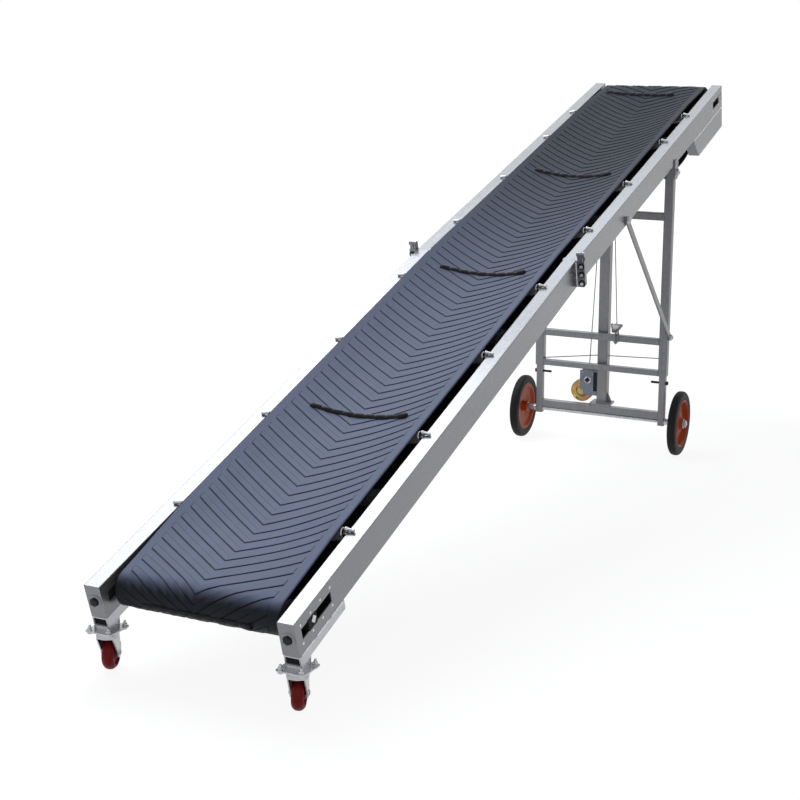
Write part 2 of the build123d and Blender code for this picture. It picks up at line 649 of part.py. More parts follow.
# Hand winch on the left of the centre post, and the two runs of its rope
left, past, high = CENTRE / 2, WINCH_T + WINCH_PAST, WINCH_U + WINCH_HIGH
near, far = C0 + WINCH_IN, C1 - WINCH_IN
winch = block(near, far, left, left + WINCH_BACK_T, WINCH_U - WINCH_BACK_LOW, high)
low = WINCH_U - WINCH_LOW
cheek = [(left, low), (past - WINCH_CHAMFER, low), (past, low + WINCH_CHAMFER), (past, high), (left, high)]
for v in (near, far - WINCH_PLATE):
    winch += plate(cheek, v, v + WINCH_PLATE)
tie_up, tie_in, tie_t = WINCH_TIE
winch += block(near, far, WINCH_T - tie_in, past, WINCH_U + tie_up, WINCH_U + tie_up + tie_t)
shaft_t, shaft_u = WINCH_T - WINCH_SHAFT_IN, WINCH_U + WINCH_SHAFT_UP
shaft_in = near + 2 * WINCH_PLATE
winch += bar((C0 - WINCH_SHAFT_OUT, shaft_t, shaft_u), (shaft_in, shaft_t, shaft_u), WINCH_SHAFT_R)
winch -= bar((C0 - WINCH_PIN_OUT, WINCH_T, WINCH_U), (C1 + CUT, WINCH_T, WINCH_U), WINCH_PIN_R)
parts["winch_frame"] = LEG * winch
drum = bar((C0 - WINCH_PIN_OUT, WINCH_T, WINCH_U), (C1, WINCH_T, WINCH_U), WINCH_PIN_R)
f0, f1 = C0 + WINCH_FLANGE_IN, C1 - WINCH_FLANGE_IN
drum += bar((f0, WINCH_T, WINCH_U), (f1, WINCH_T, WINCH_U), WINCH_CORE_R)
for v in (f0, f1 - WINCH_FLANGE_T):
    drum += bar((v, WINCH_T, WINCH_U), (v + WINCH_FLANGE_T, WINCH_T, WINCH_U), WINCH_FLANGE_R)
parts["winch_drum"] = LEG * drum
rope_side = SHEAVE_R + ROPE_SET
parts["rope_winch_run"] = LEG * bar(
    (ROPE_V, WINCH_T - WINCH_CORE_R - ROPE_R, WINCH_U), (ROPE_V, rope_side, SHEAVE_U), ROPE_R)
ANCHOR_TOP = MID_BAR[0] + ANCHOR_IN + ANCHOR_H
parts["rope_fall"] = LEG * bar(
    (ROPE_V, ANCHOR_T, ANCHOR_TOP + ROPE_GAP), (ROPE_V, -rope_side, SHEAVE_U), ROPE_R)

# Axle with its collars, dished rims and tyres
WHEEL_T = HALF + WHEEL_OFF
HUB_IN = WHEEL_T - HUB_L / 2
HUB_OUT = WHEEL_T + HUB_L / 2
axle = cross_rod(AXLE_R, -HUB_OUT - AXLE_OUT, HUB_OUT + AXLE_OUT)
for side in SIDES.values():
    axle += cross_rod(AXLE_R + COLLAR, side * (HALF - POST_GAP + CUT), side * (HUB_IN - COLLAR_GAP))
    axle += cross_rod(AXLE_R + COLLAR, side * (HUB_OUT + COLLAR_GAP), side * (HUB_OUT + COLLAR_L))
parts["rear_axle"] = LEG * axle
BORE = AXLE_R + AXLE_FIT
SEAT = RIM_SEAT_W / 2
WELL = RIM_R - RIM_LIP
CONE_R = (HUB_R + WELL) / 2
for name, side in SIDES.items():
    # Radius and outward side place, from the hub's inner end round the disc and rim to its outer end
    outline = [(BORE, -HUB_L / 2), (HUB_R, -HUB_L / 2), (HUB_R, SEAT - RIM_DISH + DISC_T / 2),
               (CONE_R, SEAT - RIM_DISH - DISC_T), (WELL - RIM_LIP, SEAT - RIM_DISH - DISC_T), (WELL, -SEAT),
               (RIM_R, -SEAT), (RIM_R, SEAT), (WELL, SEAT), (WELL - RIM_LIP / 2, SEAT - RIM_DISH),
               (CONE_R, SEAT - RIM_DISH), (HUB_R + DISC_T, SEAT - RIM_DISH + 2 * DISC_T), (HUB_R, HUB_L / 2),
               (BORE, HUB_L / 2)]
    rim = turned(Polyline(*[(r, side * t) for r, t in outline], close=True))
    parts["rear_rim_" + name] = LEG * Pos(0, side * WHEEL_T, 0) * rim

R, W = WHEEL_D / 2, WHEEL_W / 2
shoulder = (R - CROWN, TREAD_W / 2)
cheek = (R - 2 * CROWN, TREAD_W / 2 + CROWN)
belly = ((RIM_R + R - 2 * CROWN) / 2, W)
tyre_line = Line((RIM_R, -SEAT), (RIM_R, SEAT)) + ThreePointArc((RIM_R, SEAT), belly, cheek)
tyre_line += Line(cheek, shoulder) + ThreePointArc(shoulder, (R, 0), (shoulder[0], -shoulder[1]))
tyre_line += Line((shoulder[0], -shoulder[1]), (cheek[0], -cheek[1]))
tyre_line += ThreePointArc((cheek[0], -cheek[1]), (belly[0], -belly[1]), (RIM_R, -SEAT))
TYRE = turned(tyre_line)
for name, side in SIDES.items():
    parts["rear_tyre_" + name] = LEG * Pos(0, side * WHEEL_T, 0) * TYRE

# Casters under the tail: foot tube and plate, swivel fork, wheel
STEM_X = at(TAIL, -TAIL_LEN, 0, 0).X + CASTER_X_IN
UNDER = CASTER_H - PLATE_T
CW = CASTER_W / 2
TREAD_R = CASTER_R - CASTER_TREAD
caster_line = [(CASTER_PIN_R + AXLE_FIT, CW), (CASTER_HUB_R, CW),
               (CASTER_HUB_R + CASTER_RECESS / 2, CW - CASTER_RECESS),
               (TREAD_R - CASTER_RECESS / 2, CW - CASTER_RECESS), (TREAD_R, CW), (CASTER_R, CW)]
caster_line += [(r, -t) for r, t in reversed(caster_line)]
CASTER_WHEEL = turned(Polyline(*caster_line, close=True))
circles = CASTER_WHEEL.edges().filter_by(GeomType.CIRCLE)
CASTER_WHEEL = fillet(circles.filter_by(lambda edge: edge.radius > CASTER_R - CUT), CASTER_ROUND)
for name, side in SIDES.items():
    y = side * (HALF - CASTER_IN)
    low = -RAIL_H - LOW_TUBE_H
    inn, out = INSIDE + LOW_TUBE_IN, HALF
    foot = TAIL * tube(-TAIL_LEN, -TAIL_LEN + LOW_TUBE_L, side * inn, side * out, low, -RAIL_H,
                       LOW_TUBE_WALL, "s", LOW_TUBE_CORNER)
    wedge = block(STEM_X - FOOT_BLOCK / 2, STEM_X + FOOT_BLOCK / 2, side * (inn + FOOT_BLOCK_IN),
                  side * (out - FOOT_BLOCK_IN), CASTER_H, CASTER_H + FOOT_BLOCK_H)
    foot += wedge - TAIL * block(-FAR, FAR, -FAR, FAR, low + LOW_TUBE_WALL / 2, FAR)
    foot += rounded(STEM_X - PLATE_L / 2, STEM_X + PLATE_L / 2, y - PLATE_W / 2, y + PLATE_W / 2,
                    UNDER, CASTER_H, "n", PLATE_CORNER)
    foot -= bar((STEM_X, y, UNDER - CUT), (STEM_X, y, CASTER_H + STEM_HOLE), STEM_R + AXLE_FIT)
    for hole in GridLocations(PLATE_X, PLATE_Y, 2, 2):
        foot -= Pos(STEM_X, y, CASTER_H) * hole * Cylinder(PLATE_HOLE_R, PLATE_L)
    parts["caster_foot_" + name] = foot

    turn = radians(CASTER_TURN)
    swivel = Plane(origin=(STEM_X, y, 0), x_dir=(cos(turn), sin(turn), 0)).location
    fork = bar((0, 0, UNDER - RACE_H), (0, 0, CASTER_H + STEM_UP), STEM_R)
    fork += bar((0, 0, UNDER - RACE_GAP - RACE_H), (0, 0, UNDER - RACE_GAP - RACE_H / 2), RACE_R)
    fork += bar((0, 0, UNDER - RACE_GAP - RACE_H / 2), (0, 0, UNDER - RACE_GAP), RACE_R - RACE_GAP)
    yoke_top = UNDER - YOKE_DOWN
    yoke_low = yoke_top - YOKE_H
    reach = CW + FORK_GAP + FORK_T
    fork += block(*YOKE, -reach, reach, yoke_low, yoke_top)
    for b in (-1, 1):
        t0, t1 = b * (CW + FORK_GAP), b * reach
        blade = [(YOKE[0], yoke_top), (YOKE[1], yoke_top), (CASTER_TRAIL + FORK_END_R, CASTER_R),
                 (CASTER_TRAIL - FORK_END_R, CASTER_R), (YOKE[0], yoke_low)]
        fork += sheet(blade, t0, t1)
        fork += cross_rod(FORK_END_R, t0, t1, CASTER_TRAIL, CASTER_R)
    pin = CW + CASTER_PIN_OUT
    fork += cross_rod(CASTER_PIN_R, -pin, pin, CASTER_TRAIL, CASTER_R)
    parts["caster_fork_" + name] = swivel * fork
    parts["caster_wheel_" + name] = swivel * Pos(CASTER_TRAIL, 0, CASTER_R) * CASTER_WHEEL

# The origin is the middle of the box on the floor
boxes = [shape.bounding_box() for shape in parts.values()]
MID_X = (min(b.min.X for b in boxes) + max(b.max.X for b in boxes)) / 2
os.makedirs("parts", exist_ok=True)
for name, shape in parts.items():
    export_step(Pos(-MID_X, 0, 0) * shape, f"parts/{name}.step")
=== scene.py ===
import json
from math import asin, atan2, cos, pi, radians, sin, sqrt

import bmesh
import bpy
import numpy as np
from bpy.props import FloatProperty, FloatVectorProperty, PointerProperty
from mathutils import Matrix, Vector


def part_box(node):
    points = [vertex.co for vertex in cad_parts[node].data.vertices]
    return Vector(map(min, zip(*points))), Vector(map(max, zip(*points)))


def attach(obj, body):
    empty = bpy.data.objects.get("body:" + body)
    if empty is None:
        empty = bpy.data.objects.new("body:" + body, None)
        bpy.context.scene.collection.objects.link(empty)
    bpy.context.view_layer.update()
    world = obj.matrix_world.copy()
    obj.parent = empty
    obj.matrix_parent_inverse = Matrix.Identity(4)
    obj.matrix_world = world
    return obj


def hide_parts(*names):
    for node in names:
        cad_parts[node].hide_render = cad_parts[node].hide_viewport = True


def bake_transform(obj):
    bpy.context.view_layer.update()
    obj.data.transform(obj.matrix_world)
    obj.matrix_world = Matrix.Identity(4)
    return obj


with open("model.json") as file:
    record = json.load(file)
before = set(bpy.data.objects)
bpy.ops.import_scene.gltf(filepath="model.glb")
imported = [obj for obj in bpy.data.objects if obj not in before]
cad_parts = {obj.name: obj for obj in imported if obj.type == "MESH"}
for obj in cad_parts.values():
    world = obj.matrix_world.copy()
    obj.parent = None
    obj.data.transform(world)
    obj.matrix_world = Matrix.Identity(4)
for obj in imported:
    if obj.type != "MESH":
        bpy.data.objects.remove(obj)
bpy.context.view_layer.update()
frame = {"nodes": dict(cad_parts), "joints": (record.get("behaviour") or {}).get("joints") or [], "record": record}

bl_info = {
    "name": "Portable folding belt conveyor",
    "version": (1, 0, 0),
    "blender": (4, 5, 0),
    "location": "3D View > Sidebar > Conveyor",
    "description": "Dresses the packed conveyor with belt, ropes, tyres, fasteners, welds and finishes",
    "category": "Object",
}

JOINTS = {joint["name"]: joint for joint in frame["joints"]}
SLOTS = {part["node"]: part["material_slot"] for part in frame["record"]["subparts"]}
SIDES = {"right": -1, "left": 1}


# Local frames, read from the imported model. All sizes are metres.

def centre(node):
    """Middle of a node's box."""
    low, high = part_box(node)
    return np.array((low + high) / 2)


def tilted(origin, pitch):
    """Frame whose first axis climbs at the pitch in the XZ plane and whose second is Y."""
    local = np.eye(4)
    local[:3, 0] = (cos(pitch), 0, sin(pitch))
    local[:3, 2] = (-sin(pitch), 0, cos(pitch))
    local[:3, 3] = origin
    return local


def to_row(local, points):
    """Points of a local frame in the row frame."""
    return np.asarray(points, float) @ local[:3, :3].T + local[:3, 3]


def to_local(local, point):
    """A row point in a local frame."""
    return (np.asarray(point, float) - local[:3, 3]) @ local[:3, :3]


def climb(first, last):
    """Pitch of the line from one node to another of the same shape."""
    run = centre(last) - centre(first)
    return atan2(run[2], run[0])


ROW = np.eye(4)
HINGE_UP = 0.022
TAIL_PITCH = climb("idler_1", "idler_4")
HEAD_PITCH = climb("idler_5", "idler_8")
FOLD_PITCH = (TAIL_PITCH + HEAD_PITCH) / 2
FOLD_AXES = tilted(JOINTS["fold"]["pos_m"], FOLD_PITCH)
FOLD = tilted(to_row(FOLD_AXES, (0, 0, -HINGE_UP)), FOLD_PITCH)
TAIL = tilted(FOLD[:3, 3], TAIL_PITCH)
HEAD = tilted(FOLD[:3, 3], HEAD_PITCH)
SECTION = {"tail": TAIL, "head": HEAD}
BODY = {"tail": "tail_section", "head": "head_section"}
AXLE = np.array(JOINTS["rear_wheel_right"]["pos_m"]) * (1, 0, 1)
LEG = tilted(AXLE, asin(JOINTS["lift"]["axis"][0]))
RAIL_IN, RAIL_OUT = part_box("tail_rail_left")[0].y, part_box("tail_rail_left")[1].y
RAIL_H = 0.105
TAIL_END = -2.235
IDLERS = {"tail": [f"idler_{k}" for k in range(1, 5)], "head": [f"idler_{k}" for k in range(5, 9)]}


# Sizes and colours that a user would change

def size(name, description, default):
    return FloatProperty(name=name, description=description, default=default, min=0.0, unit="LENGTH")


def share(name, description, default):
    return FloatProperty(name=name, description=description, default=default, subtype="FACTOR",
                         min=0.0, max=1.0)


def power(name, description, default):
    return FloatProperty(name=name, description=description, default=default, unit="POWER")


def colour(name, description, default):
    return FloatVectorProperty(name=name, description=description, default=default, subtype="COLOR",
                               size=3, min=0.0, max=1.0)


def angle(name, description, degrees):
    return FloatProperty(name=name, description=description, default=radians(degrees), unit="ROTATION")


class ConveyorBeltSizes(bpy.types.PropertyGroup):
    """Sizes of the moulded belt."""
    thickness: size("Thickness", "Thickness of the belt between its ribs", 0.008)
    edge_up: size("Edge height", "Height of the belt's edges over the rail tops", 0.019)
    sag: size("Trough depth", "Depth of the trough under the belt's edges", 0.047)
    lead: size("Flattening length", "Length over which the trough flattens onto a drum", 0.325)
    rib_pitch: size("Rib pitch", "Distance from one moulded rib to the next", 0.0513)
    rib_width: size("Rib width", "Length of a rib along the belt", 0.0225)
    rib_relief: size("Rib relief", "Height of the ribs", 0.0017)
    groove: size("Groove depth", "Depth of the thin groove along a rib's foot", 0.0013)
    sweep: share("Rib sweep", "How far a rib runs to the head for each step to its side", 0.70)
    bow: share("Rib bow", "How much the sweep falls off with the square of that step", 0.36)
    apex: size("Rib apex", "Place of the ribs' point across the belt, to the left of its middle", 0.003)
    margin_right: size("Right margin", "Plain strip between the ribs and the right edge", 0.032)
    margin_left: size("Left margin", "Plain strip between the ribs and the left edge", 0.025)
    return_sag: size("Return sag", "How far the return strand hangs down behind the leg", 0.130)


class ConveyorTrimSizes(bpy.types.PropertyGroup):
    """Sizes of the cleats, ropes, welds and fasteners."""
    cleat_height: size("Cleat height", "Height of the lobed cleats over the belt", 0.0115)
    cleat_length: size("Cleat length", "Length of a cleat along the belt", 0.018)
    rope_radius: size("Rope radius", "Radius of the winch rope", 0.0025)
    rope_lay: size("Rope lay", "Length of one turn of the rope's strands", 0.020)
    wire_radius: size("Tie wire radius", "Radius of the wire between the posts", 0.0024)
    bead_radius: size("Weld radius", "Radius of the weld beads", 0.0028)
    bead_ripple: size("Weld ripple", "Distance between the ripples of a weld bead", 0.0045)


class ConveyorColours(bpy.types.PropertyGroup):
    """Base colours of the finishes."""
    rail: colour("Rails", "Bare sheet metal of the rails", (0.233, 0.238, 0.256))
    leg: colour("Leg", "Galvanised tube of the leg", (0.221, 0.221, 0.236))
    zinc: colour("Zinc", "Bright zinc of casters and fasteners", (0.52, 0.525, 0.555))
    weld: colour("Welds", "Bright weld metal", (0.70, 0.71, 0.74))
    roller: colour("Rollers", "Plated rollers and rods", (0.50, 0.505, 0.52))
    belt: colour("Belt", "Dusty blue-grey face of the belt", (0.086, 0.101, 0.156))
    cleat: colour("Cleats", "Black rubber of the cleats", (0.012, 0.012, 0.014))
    tyre: colour("Tyres", "Black rubber of the tyres", (0.016, 0.016, 0.018))
    rim: colour("Rims", "Orange paint of the rims", (0.48, 0.076, 0.015))
    caster: colour("Caster wheels", "Dark red of the caster wheels", (0.20, 0.010, 0.011))
    winch: colour("Winch", "Grey paint of the winch", (0.34, 0.375, 0.44))
    gold: colour("Yellow zinc", "Yellow passivated zinc of drum and sheave", (0.46, 0.33, 0.085))
    rope: colour("Rope", "Steel of the winch rope", (0.33, 0.32, 0.30))
    black: colour("Blackened steel", "Blackened bolts and pins", (0.014, 0.014, 0.016))


class ConveyorStage(bpy.types.PropertyGroup):
    """Camera and lamps."""
    eye: FloatVectorProperty(name="Camera place", description="Where the camera stands", size=3,
                             default=(-5.188, -1.988, 1.518), subtype="TRANSLATION")
    heading: angle("Camera heading", "Direction of view round from the conveyor's length", 24.70)
    pitch: angle("Camera pitch", "Direction of view above the horizon", -11.01)
    roll: angle("Camera roll", "Turn of the camera about its direction of view", 1.68)
    lens: FloatProperty(name="Lens", description="Focal length on a 36 mm frame", default=65.77, min=1.0,
                        unit="CAMERA")
    sky: share("Sky light", "Strength of the even light from all round", 0.22)
    key: power("Overhead lamp", "Power of the large lamp over the loading half", 140.0)
    far: power("Far lamp", "Power of the lamp over the discharge half", 24.0)
    fill: power("Fill lamp", "Power of the lamp at the loading end", 26.0)


# Surfaces as arrays: a shape is an array of points and a list of arrays of face corners

def grid(points, close_u=False, close_v=False):
    """Quads over a (u, v, 3) array of points; a closed direction joins its last line to its first."""
    rows, columns = points.shape[:2]
    index = np.arange(rows * columns).reshape(rows, columns)
    if close_u:
        index = np.vstack([index, index[:1]])
    if close_v:
        index = np.hstack([index, index[:, :1]])
    corners = (index[:-1, :-1], index[1:, :-1], index[1:, 1:], index[:-1, 1:])
    return points.reshape(-1, 3), [np.stack(corners, -1).reshape(-1, 4)]


def capped(points):
    """Tube over a (u, v, 3) array, closed round v, with a flat cap at each end."""
    rows, columns = points.shape[:2]
    verts, faces = grid(points, close_v=True)
    ends = np.arange(columns)[None]
    return verts, faces + [ends[:, ::-1], ends + (rows - 1) * columns]


def join(*shapes):
    """Several shapes as one."""
    starts = np.cumsum([0] + [len(verts) for verts, _ in shapes])
    faces = [part + start for (_, parts), start in zip(shapes, starts) for part in parts]
    return np.concatenate([verts for verts, _ in shapes]), faces


def scatter(shape, places):
    """Copies of a shape, one at each of an (m, 4, 4) array of frames."""
    verts, faces = shape
    copies = np.einsum("mij,kj->mki", places[:, :3, :3], verts) + places[:, None, :3, 3]
    steps = np.arange(len(places))[:, None, None] * len(verts)
    return copies.reshape(-1, 3), [(part[None] + steps).reshape(-1, part.shape[1]) for part in faces]


def moved(shape, local):
    """A shape of a local frame in the row frame."""
    return to_row(local, shape[0]), shape[1]


def standing(points, axis):
    """Frames at points of a local frame whose third axis is the given axis."""
    points = np.atleast_2d(np.asarray(points, float))
    up = np.asarray(axis, float) / np.linalg.norm(axis)
    helper = np.eye(3)[np.argmin(np.abs(up))]
    side = np.cross(helper, up)
    side /= np.linalg.norm(side)
    places = np.tile(np.eye(4), (len(points), 1, 1))
    places[:, :3, 0] = side
    places[:, :3, 1] = np.cross(up, side)
    places[:, :3, 2] = up
    places[:, :3, 3] = points
    return places


def both_sides(*points, axis=(0, 1, 0)):
    """Frames at points of the left side whose third axis is the given axis, and their mirror images."""
    return np.concatenate([standing(np.array(points) * (1, side, 1), np.array(axis) * (1, side, 1))
                           for side in SIDES.values()])


def circle(radius, sides):
    """Round outline."""
    turn = np.linspace(0, 2 * pi, sides, endpoint=False)
    return radius * np.stack([np.cos(turn), np.sin(turn)], -1)


def squared(exponent, sides):
    """Outline of half size 1 whose cosine and sine are raised to an exponent, which squares it."""
    outline = circle(1.0, sides)
    return np.sign(outline) * np.abs(outline) ** exponent


def swept(path, profile, up):
    """Profile carried along a path: a point is the path's plus x times the side plus y times the rise."""
    path = np.asarray(path, float)
    ahead = np.gradient(path, axis=0)
    ahead /= np.linalg.norm(ahead, axis=1, keepdims=True)
    side = np.cross(ahead, up)
    side /= np.linalg.norm(side, axis=1, keepdims=True)
    rise = np.cross(side, ahead)
    profile = np.broadcast_to(profile, (len(path),) + np.shape(profile)[-2:])
    return capped(path[:, None] + profile[..., :1] * side[:, None] + profile[..., 1:] * rise[:, None])


def turned(profile, sides=24, ring=False):
    """Radius and height pairs turned about the third axis, capped flat at both ends or closed as a ring."""
    profile = np.asarray(profile, float)
    turn = np.linspace(0, 2 * pi, sides, endpoint=False)
    radius, height = profile[:, :1], profile[:, 1:]
    points = np.stack([radius * np.cos(turn), radius * np.sin(turn), height + 0 * turn], -1)
    return grid(points, close_u=True, close_v=True) if ring else capped(points)


WASHER_T = 0.0015
# Stud's thread: shares of its radius from the nut to the tip
THREAD = np.array([1.0, 1.0, 0.9, 1.0, 0.9, 1.0, 0.82])
# Nuts on studs: width over flats, height, stud's radius, length of the stud's end, washer's radius
NUTS = {"lug": (0.024, 0.009, 0.0082, 0.005, 0.016), "brace": (0.024, 0.0075, 0.0082, 0.004, 0.015),
        "hub": (0.032, 0.010, 0.0092, 0.004, 0.021), "drum": (0.019, 0.004, 0.0078, 0.0005, 0.0),
        "sheave": (0.022, 0.008, 0.0082, 0.003, 0.015), "plate": (0.013, 0.006, 0.004, 0.007, 0.009),
        "caster": (0.0135, 0.003, 0.0062, 0.001, 0.0), "fold": (0.017, 0.008, 0.005, 0.009, 0.0105)}


def hex_head(flats, height, washer=0.0):
    """Six-sided head with a chamfered top, standing on a washer where one is given."""
    corner = flats / sqrt(3)
    base = WASHER_T if washer else 0.0
    head = turned([(corner, base), (corner, base + 0.78 * height), (0.84 * corner, base + height)], 6)
    if not washer:
        return head
    return join(turned([(washer, 0), (washer, 0.7 * WASHER_T), (0.93 * washer, WASHER_T)], 20), head)


def nut_on_stud(kind):
    """Nut with its washer and the end of the stud standing out of it, with three thread ridges."""
    flats, height, stud, stud_out, washer = NUTS[kind]
    top = height + (WASHER_T if washer else 0.0)
    steps = np.linspace(top - 0.001, top + stud_out, len(THREAD))
    return join(hex_head(flats, height, washer), turned(np.stack([stud * THREAD, steps], -1), 12))


def dome(radius, height, sides=12):
    """Rounded rivet head: the radius falls with the cosine of the height's angle."""
    rise = np.linspace(0, 0.46 * pi, 4)
    return turned(np.stack([radius * np.cos(rise), height * np.sin(rise)], -1), sides)


def bead(start, end, radius, ripple, up):
    """Weld bead: a round profile carried along a line, swelling with each ripple, smaller at the ends."""
    start, end = np.asarray(start, float), np.asarray(end, float)
    length = np.linalg.norm(end - start)
    along = np.linspace(0, 1, max(8, int(4 * length / ripple)))
    swell = 1 + 0.2 * np.sin(2 * pi * along * length / ripple) + 0.12 * np.sin(31 * along + 5 * length)
    swell *= np.clip(np.sqrt(1 - (2 * along - 1) ** 40), 0.25, 1)
    path = start + along[:, None] * (end - start)
    return swept(path, circle(radius, 8) * swell[:, None, None], up)


def stitches(start, end, radius, ripple, up, count=3, fill=0.86):
    """Row of short weld beads that fills the given share of the line from start to end."""
    start, end = np.asarray(start, float), np.asarray(end, float)
    shares = (np.arange(count)[:, None] + np.array([[0.5 - fill / 2, 0.5 + fill / 2]])) / count
    runs = start + shares[..., None] * (end - start)
    return join(*[bead(a, b, radius, ripple, up) for a, b in runs])


def both_welds(line, start, end, *settings):
    """A weld line of the left side and its mirror image."""
    ends = np.array([start, end])
    return join(*[line(*(ends * (1, side, 1)), *settings) for side in SIDES.values()])


def stranded(path, radius, lay, up):
    """Six-strand rope: a round profile with six lobes that turns once in each lay, carried along a path."""
    path = np.asarray(path, float)
    along = np.concatenate([[0], np.cumsum(np.linalg.norm(np.diff(path, axis=0), axis=1))])
    turn = np.linspace(0, 2 * pi, 24, endpoint=False)
    lobes = 0.84 + 0.16 * np.abs(np.cos(3 * (turn[None] - 2 * pi * along[:, None] / lay)))
    profile = radius * lobes[..., None] * np.stack([np.cos(turn), np.sin(turn)], -1)
    return swept(path, profile, up)


def straight(start, end, step):
    """Evenly spaced points from start to end."""
    start, end = np.asarray(start, float), np.asarray(end, float)
    count = max(2, int(np.linalg.norm(end - start) / step) + 1)
    return start + np.linspace(0, 1, count)[:, None] * (end - start)


def rounded_path(points, radius, steps=6):
    """Polyline whose corners are rounded: each is a quadratic curve between points set back from it."""
    points = np.asarray(points, float)
    back, on = points[:-2] - points[1:-1], points[2:] - points[1:-1]
    back *= np.minimum(radius / np.linalg.norm(back, axis=1, keepdims=True), 0.5)
    on *= np.minimum(radius / np.linalg.norm(on, axis=1, keepdims=True), 0.5)
    k = np.linspace(0, 1, steps)[None, :, None]
    bends = points[1:-1, None] + (1 - k) ** 2 * back[:, None] + k ** 2 * on[:, None]
    return np.concatenate([points[:1], bends.reshape(-1, 3), points[-1:]])


def add_piece(name, shape, finish, body=None, sharp=38.0):
    """Object at the origin from a shape, with outward faces and its finish, riding on its body."""
    verts, faces = shape
    mesh = bpy.data.meshes.new(name)
    mesh.vertices.add(len(verts))
    mesh.vertices.foreach_set("co", np.ascontiguousarray(verts, np.float32).ravel())
    sizes = np.concatenate([np.full(len(part), part.shape[1]) for part in faces])
    corners = np.concatenate([part.ravel() for part in faces])
    mesh.loops.add(len(corners))
    mesh.loops.foreach_set("vertex_index", corners.astype(np.int32))
    mesh.polygons.add(len(sizes))
    mesh.polygons.foreach_set("loop_start", (np.cumsum(sizes) - sizes).astype(np.int32))
    mesh.update(calc_edges=True)
    if mesh.validate():
        raise RuntimeError(f"{name} has faulty faces")
    work = bmesh.new()
    work.from_mesh(mesh)
    bmesh.ops.recalc_face_normals(work, faces=work.faces)
    work.to_mesh(mesh)
    work.free()
    mesh.polygons.foreach_set("use_smooth", np.ones(len(sizes), bool))
    mesh.set_sharp_from_angle(angle=radians(sharp))
    mesh.materials.append(FINISHES[finish])
    piece = bpy.data.objects.new(name, mesh)
    bpy.context.scene.collection.objects.link(piece)
    if body:
        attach(piece, body)
    return piece


def fasten(name, shape, places, local, finish, body):
    """Piece made of copies of one fastener at frames of a local frame."""
    return add_piece(name, moved(scatter(shape, places), local), finish, body)


def write_attribute(piece, name, values):
    """One number for each point of a piece."""
    attribute = piece.data.attributes.new(name, "FLOAT", "POINT")
    attribute.data.foreach_set("value", np.ascontiguousarray(values, np.float32).ravel())


# Finishes

FINISHES = {}
# Painted light: brightness factor of a metal's upper faces at the loading and at the discharge end
PAINTED_TOP_LIGHT = (1.22, 1.60)
# Painted shade and light: places along the row between which flanks and upper faces change, and the normal's rise
# that parts them
PAINTED_FLANK_SHADE_RUN, PAINTED_TOP_LIGHT_RUN, FACING_UP = (-1.2, 2.0), (-1.2, 1.5), (0.4, 0.8)
# Painted shade inside a caster fork: half gap between the blades, height of the yoke's underside, and fade width
FORK_INNER = 0.0203
YOKE_UNDER = 0.1040
FORK_FADE = 0.0006


class Nodes:
    """Node tree of a material or a world: an input is linked where a socket is given and set otherwise."""

    def __init__(self, owner):
        owner.use_nodes = True
        self.tree = owner.node_tree
        self.tree.nodes.clear()

    def add(self, kind, inputs=None, **settings):
        node = self.tree.nodes.new(kind)
        for key, value in settings.items():
            setattr(node, key, value)
        for key, value in (inputs or {}).items():
            socket = node.inputs[key]
            if isinstance(value, bpy.types.NodeSocket):
                self.tree.links.new(value, socket)
            elif socket.type == "RGBA":
                socket.default_value = (*value, 1.0)
            else:
                socket.default_value = value
        return node

    def spread(self, value, low, high, start=0.0, end=1.0):
        return self.add("ShaderNodeMapRange", {"Value": value, "From Min": start, "From Max": end,
                                               "To Min": low, "To Max": high}).outputs["Result"]

    def math(self, operation, first, second=0.0):
        return self.add("ShaderNodeMath", {0: first, 1: second}, operation=operation).outputs["Value"]

    def vector(self, operation, first, second, output="Vector"):
        return self.add("ShaderNodeVectorMath", {0: first, 1: second}, operation=operation).outputs[output]


class Finish(Nodes):
    """One procedural material in the coordinates of the row frame."""

    def __init__(self, name):
        self.name = name
        self.material = bpy.data.materials.new(f"{name}_finish")
        super().__init__(self.material)
        places = self.add("ShaderNodeTexCoord").outputs
        self.row = places["Object"]
        self.x, _, self.z = self.add("ShaderNodeSeparateXYZ", {"Vector": self.row}).outputs
        self.facing_up = self.add("ShaderNodeSeparateXYZ", {"Vector": places["Normal"]}).outputs["Z"]

    def stretched(self, lengths, turn=(0, 0, 0)):
        """Coordinates turned into a grain direction and divided by a length for each axis."""
        return self.add("ShaderNodeMapping", {"Vector": self.row, "Rotation": turn, "Scale": lengths},
                        vector_type="TEXTURE").outputs["Vector"]

    def noise(self, scale, detail=3.0, vector=None):
        inputs = {"Vector": vector or self.row, "Scale": scale, "Detail": detail}
        return self.add("ShaderNodeTexNoise", inputs).outputs["Fac"]

    def cells(self, scale):
        """One random number for each crystal of a spangled coat."""
        tint = self.add("ShaderNodeTexVoronoi", {"Vector": self.row, "Scale": scale}).outputs["Color"]
        return self.add("ShaderNodeSeparateColor", {"Color": tint}).outputs["Red"]

    def shaded(self, tint, value):
        """A colour times a number."""
        scaled = self.add("ShaderNodeVectorMath", {0: tint, "Scale": value}, operation="SCALE")
        return scaled.outputs["Vector"]

    def mixed(self, part, first, second):
        """Mix of two colours: a mixing node has its colours at sockets 6 and 7 and their mix at 2."""
        return self.add("ShaderNodeMix", {0: part, 6: first, 7: second}, data_type="RGBA").outputs[2]

    def attribute(self, name):
        return self.add("ShaderNodeAttribute", attribute_name=name).outputs["Fac"]

    def done(self, grain=None, depth=0.0, **sockets):
        """Surface with the given sockets, and with a grain pressed in to a depth where one is given."""
        inputs = {key.replace("_", " "): value for key, value in sockets.items()}
        if grain:
            bump = self.add("ShaderNodeBump", {"Height": grain, "Distance": depth})
            inputs["Normal"] = bump.outputs["Normal"]
        surface = self.add("ShaderNodeBsdfPrincipled", inputs).outputs["BSDF"]
        self.add("ShaderNodeOutputMaterial", {"Surface": surface})
        FINISHES[self.name] = self.material


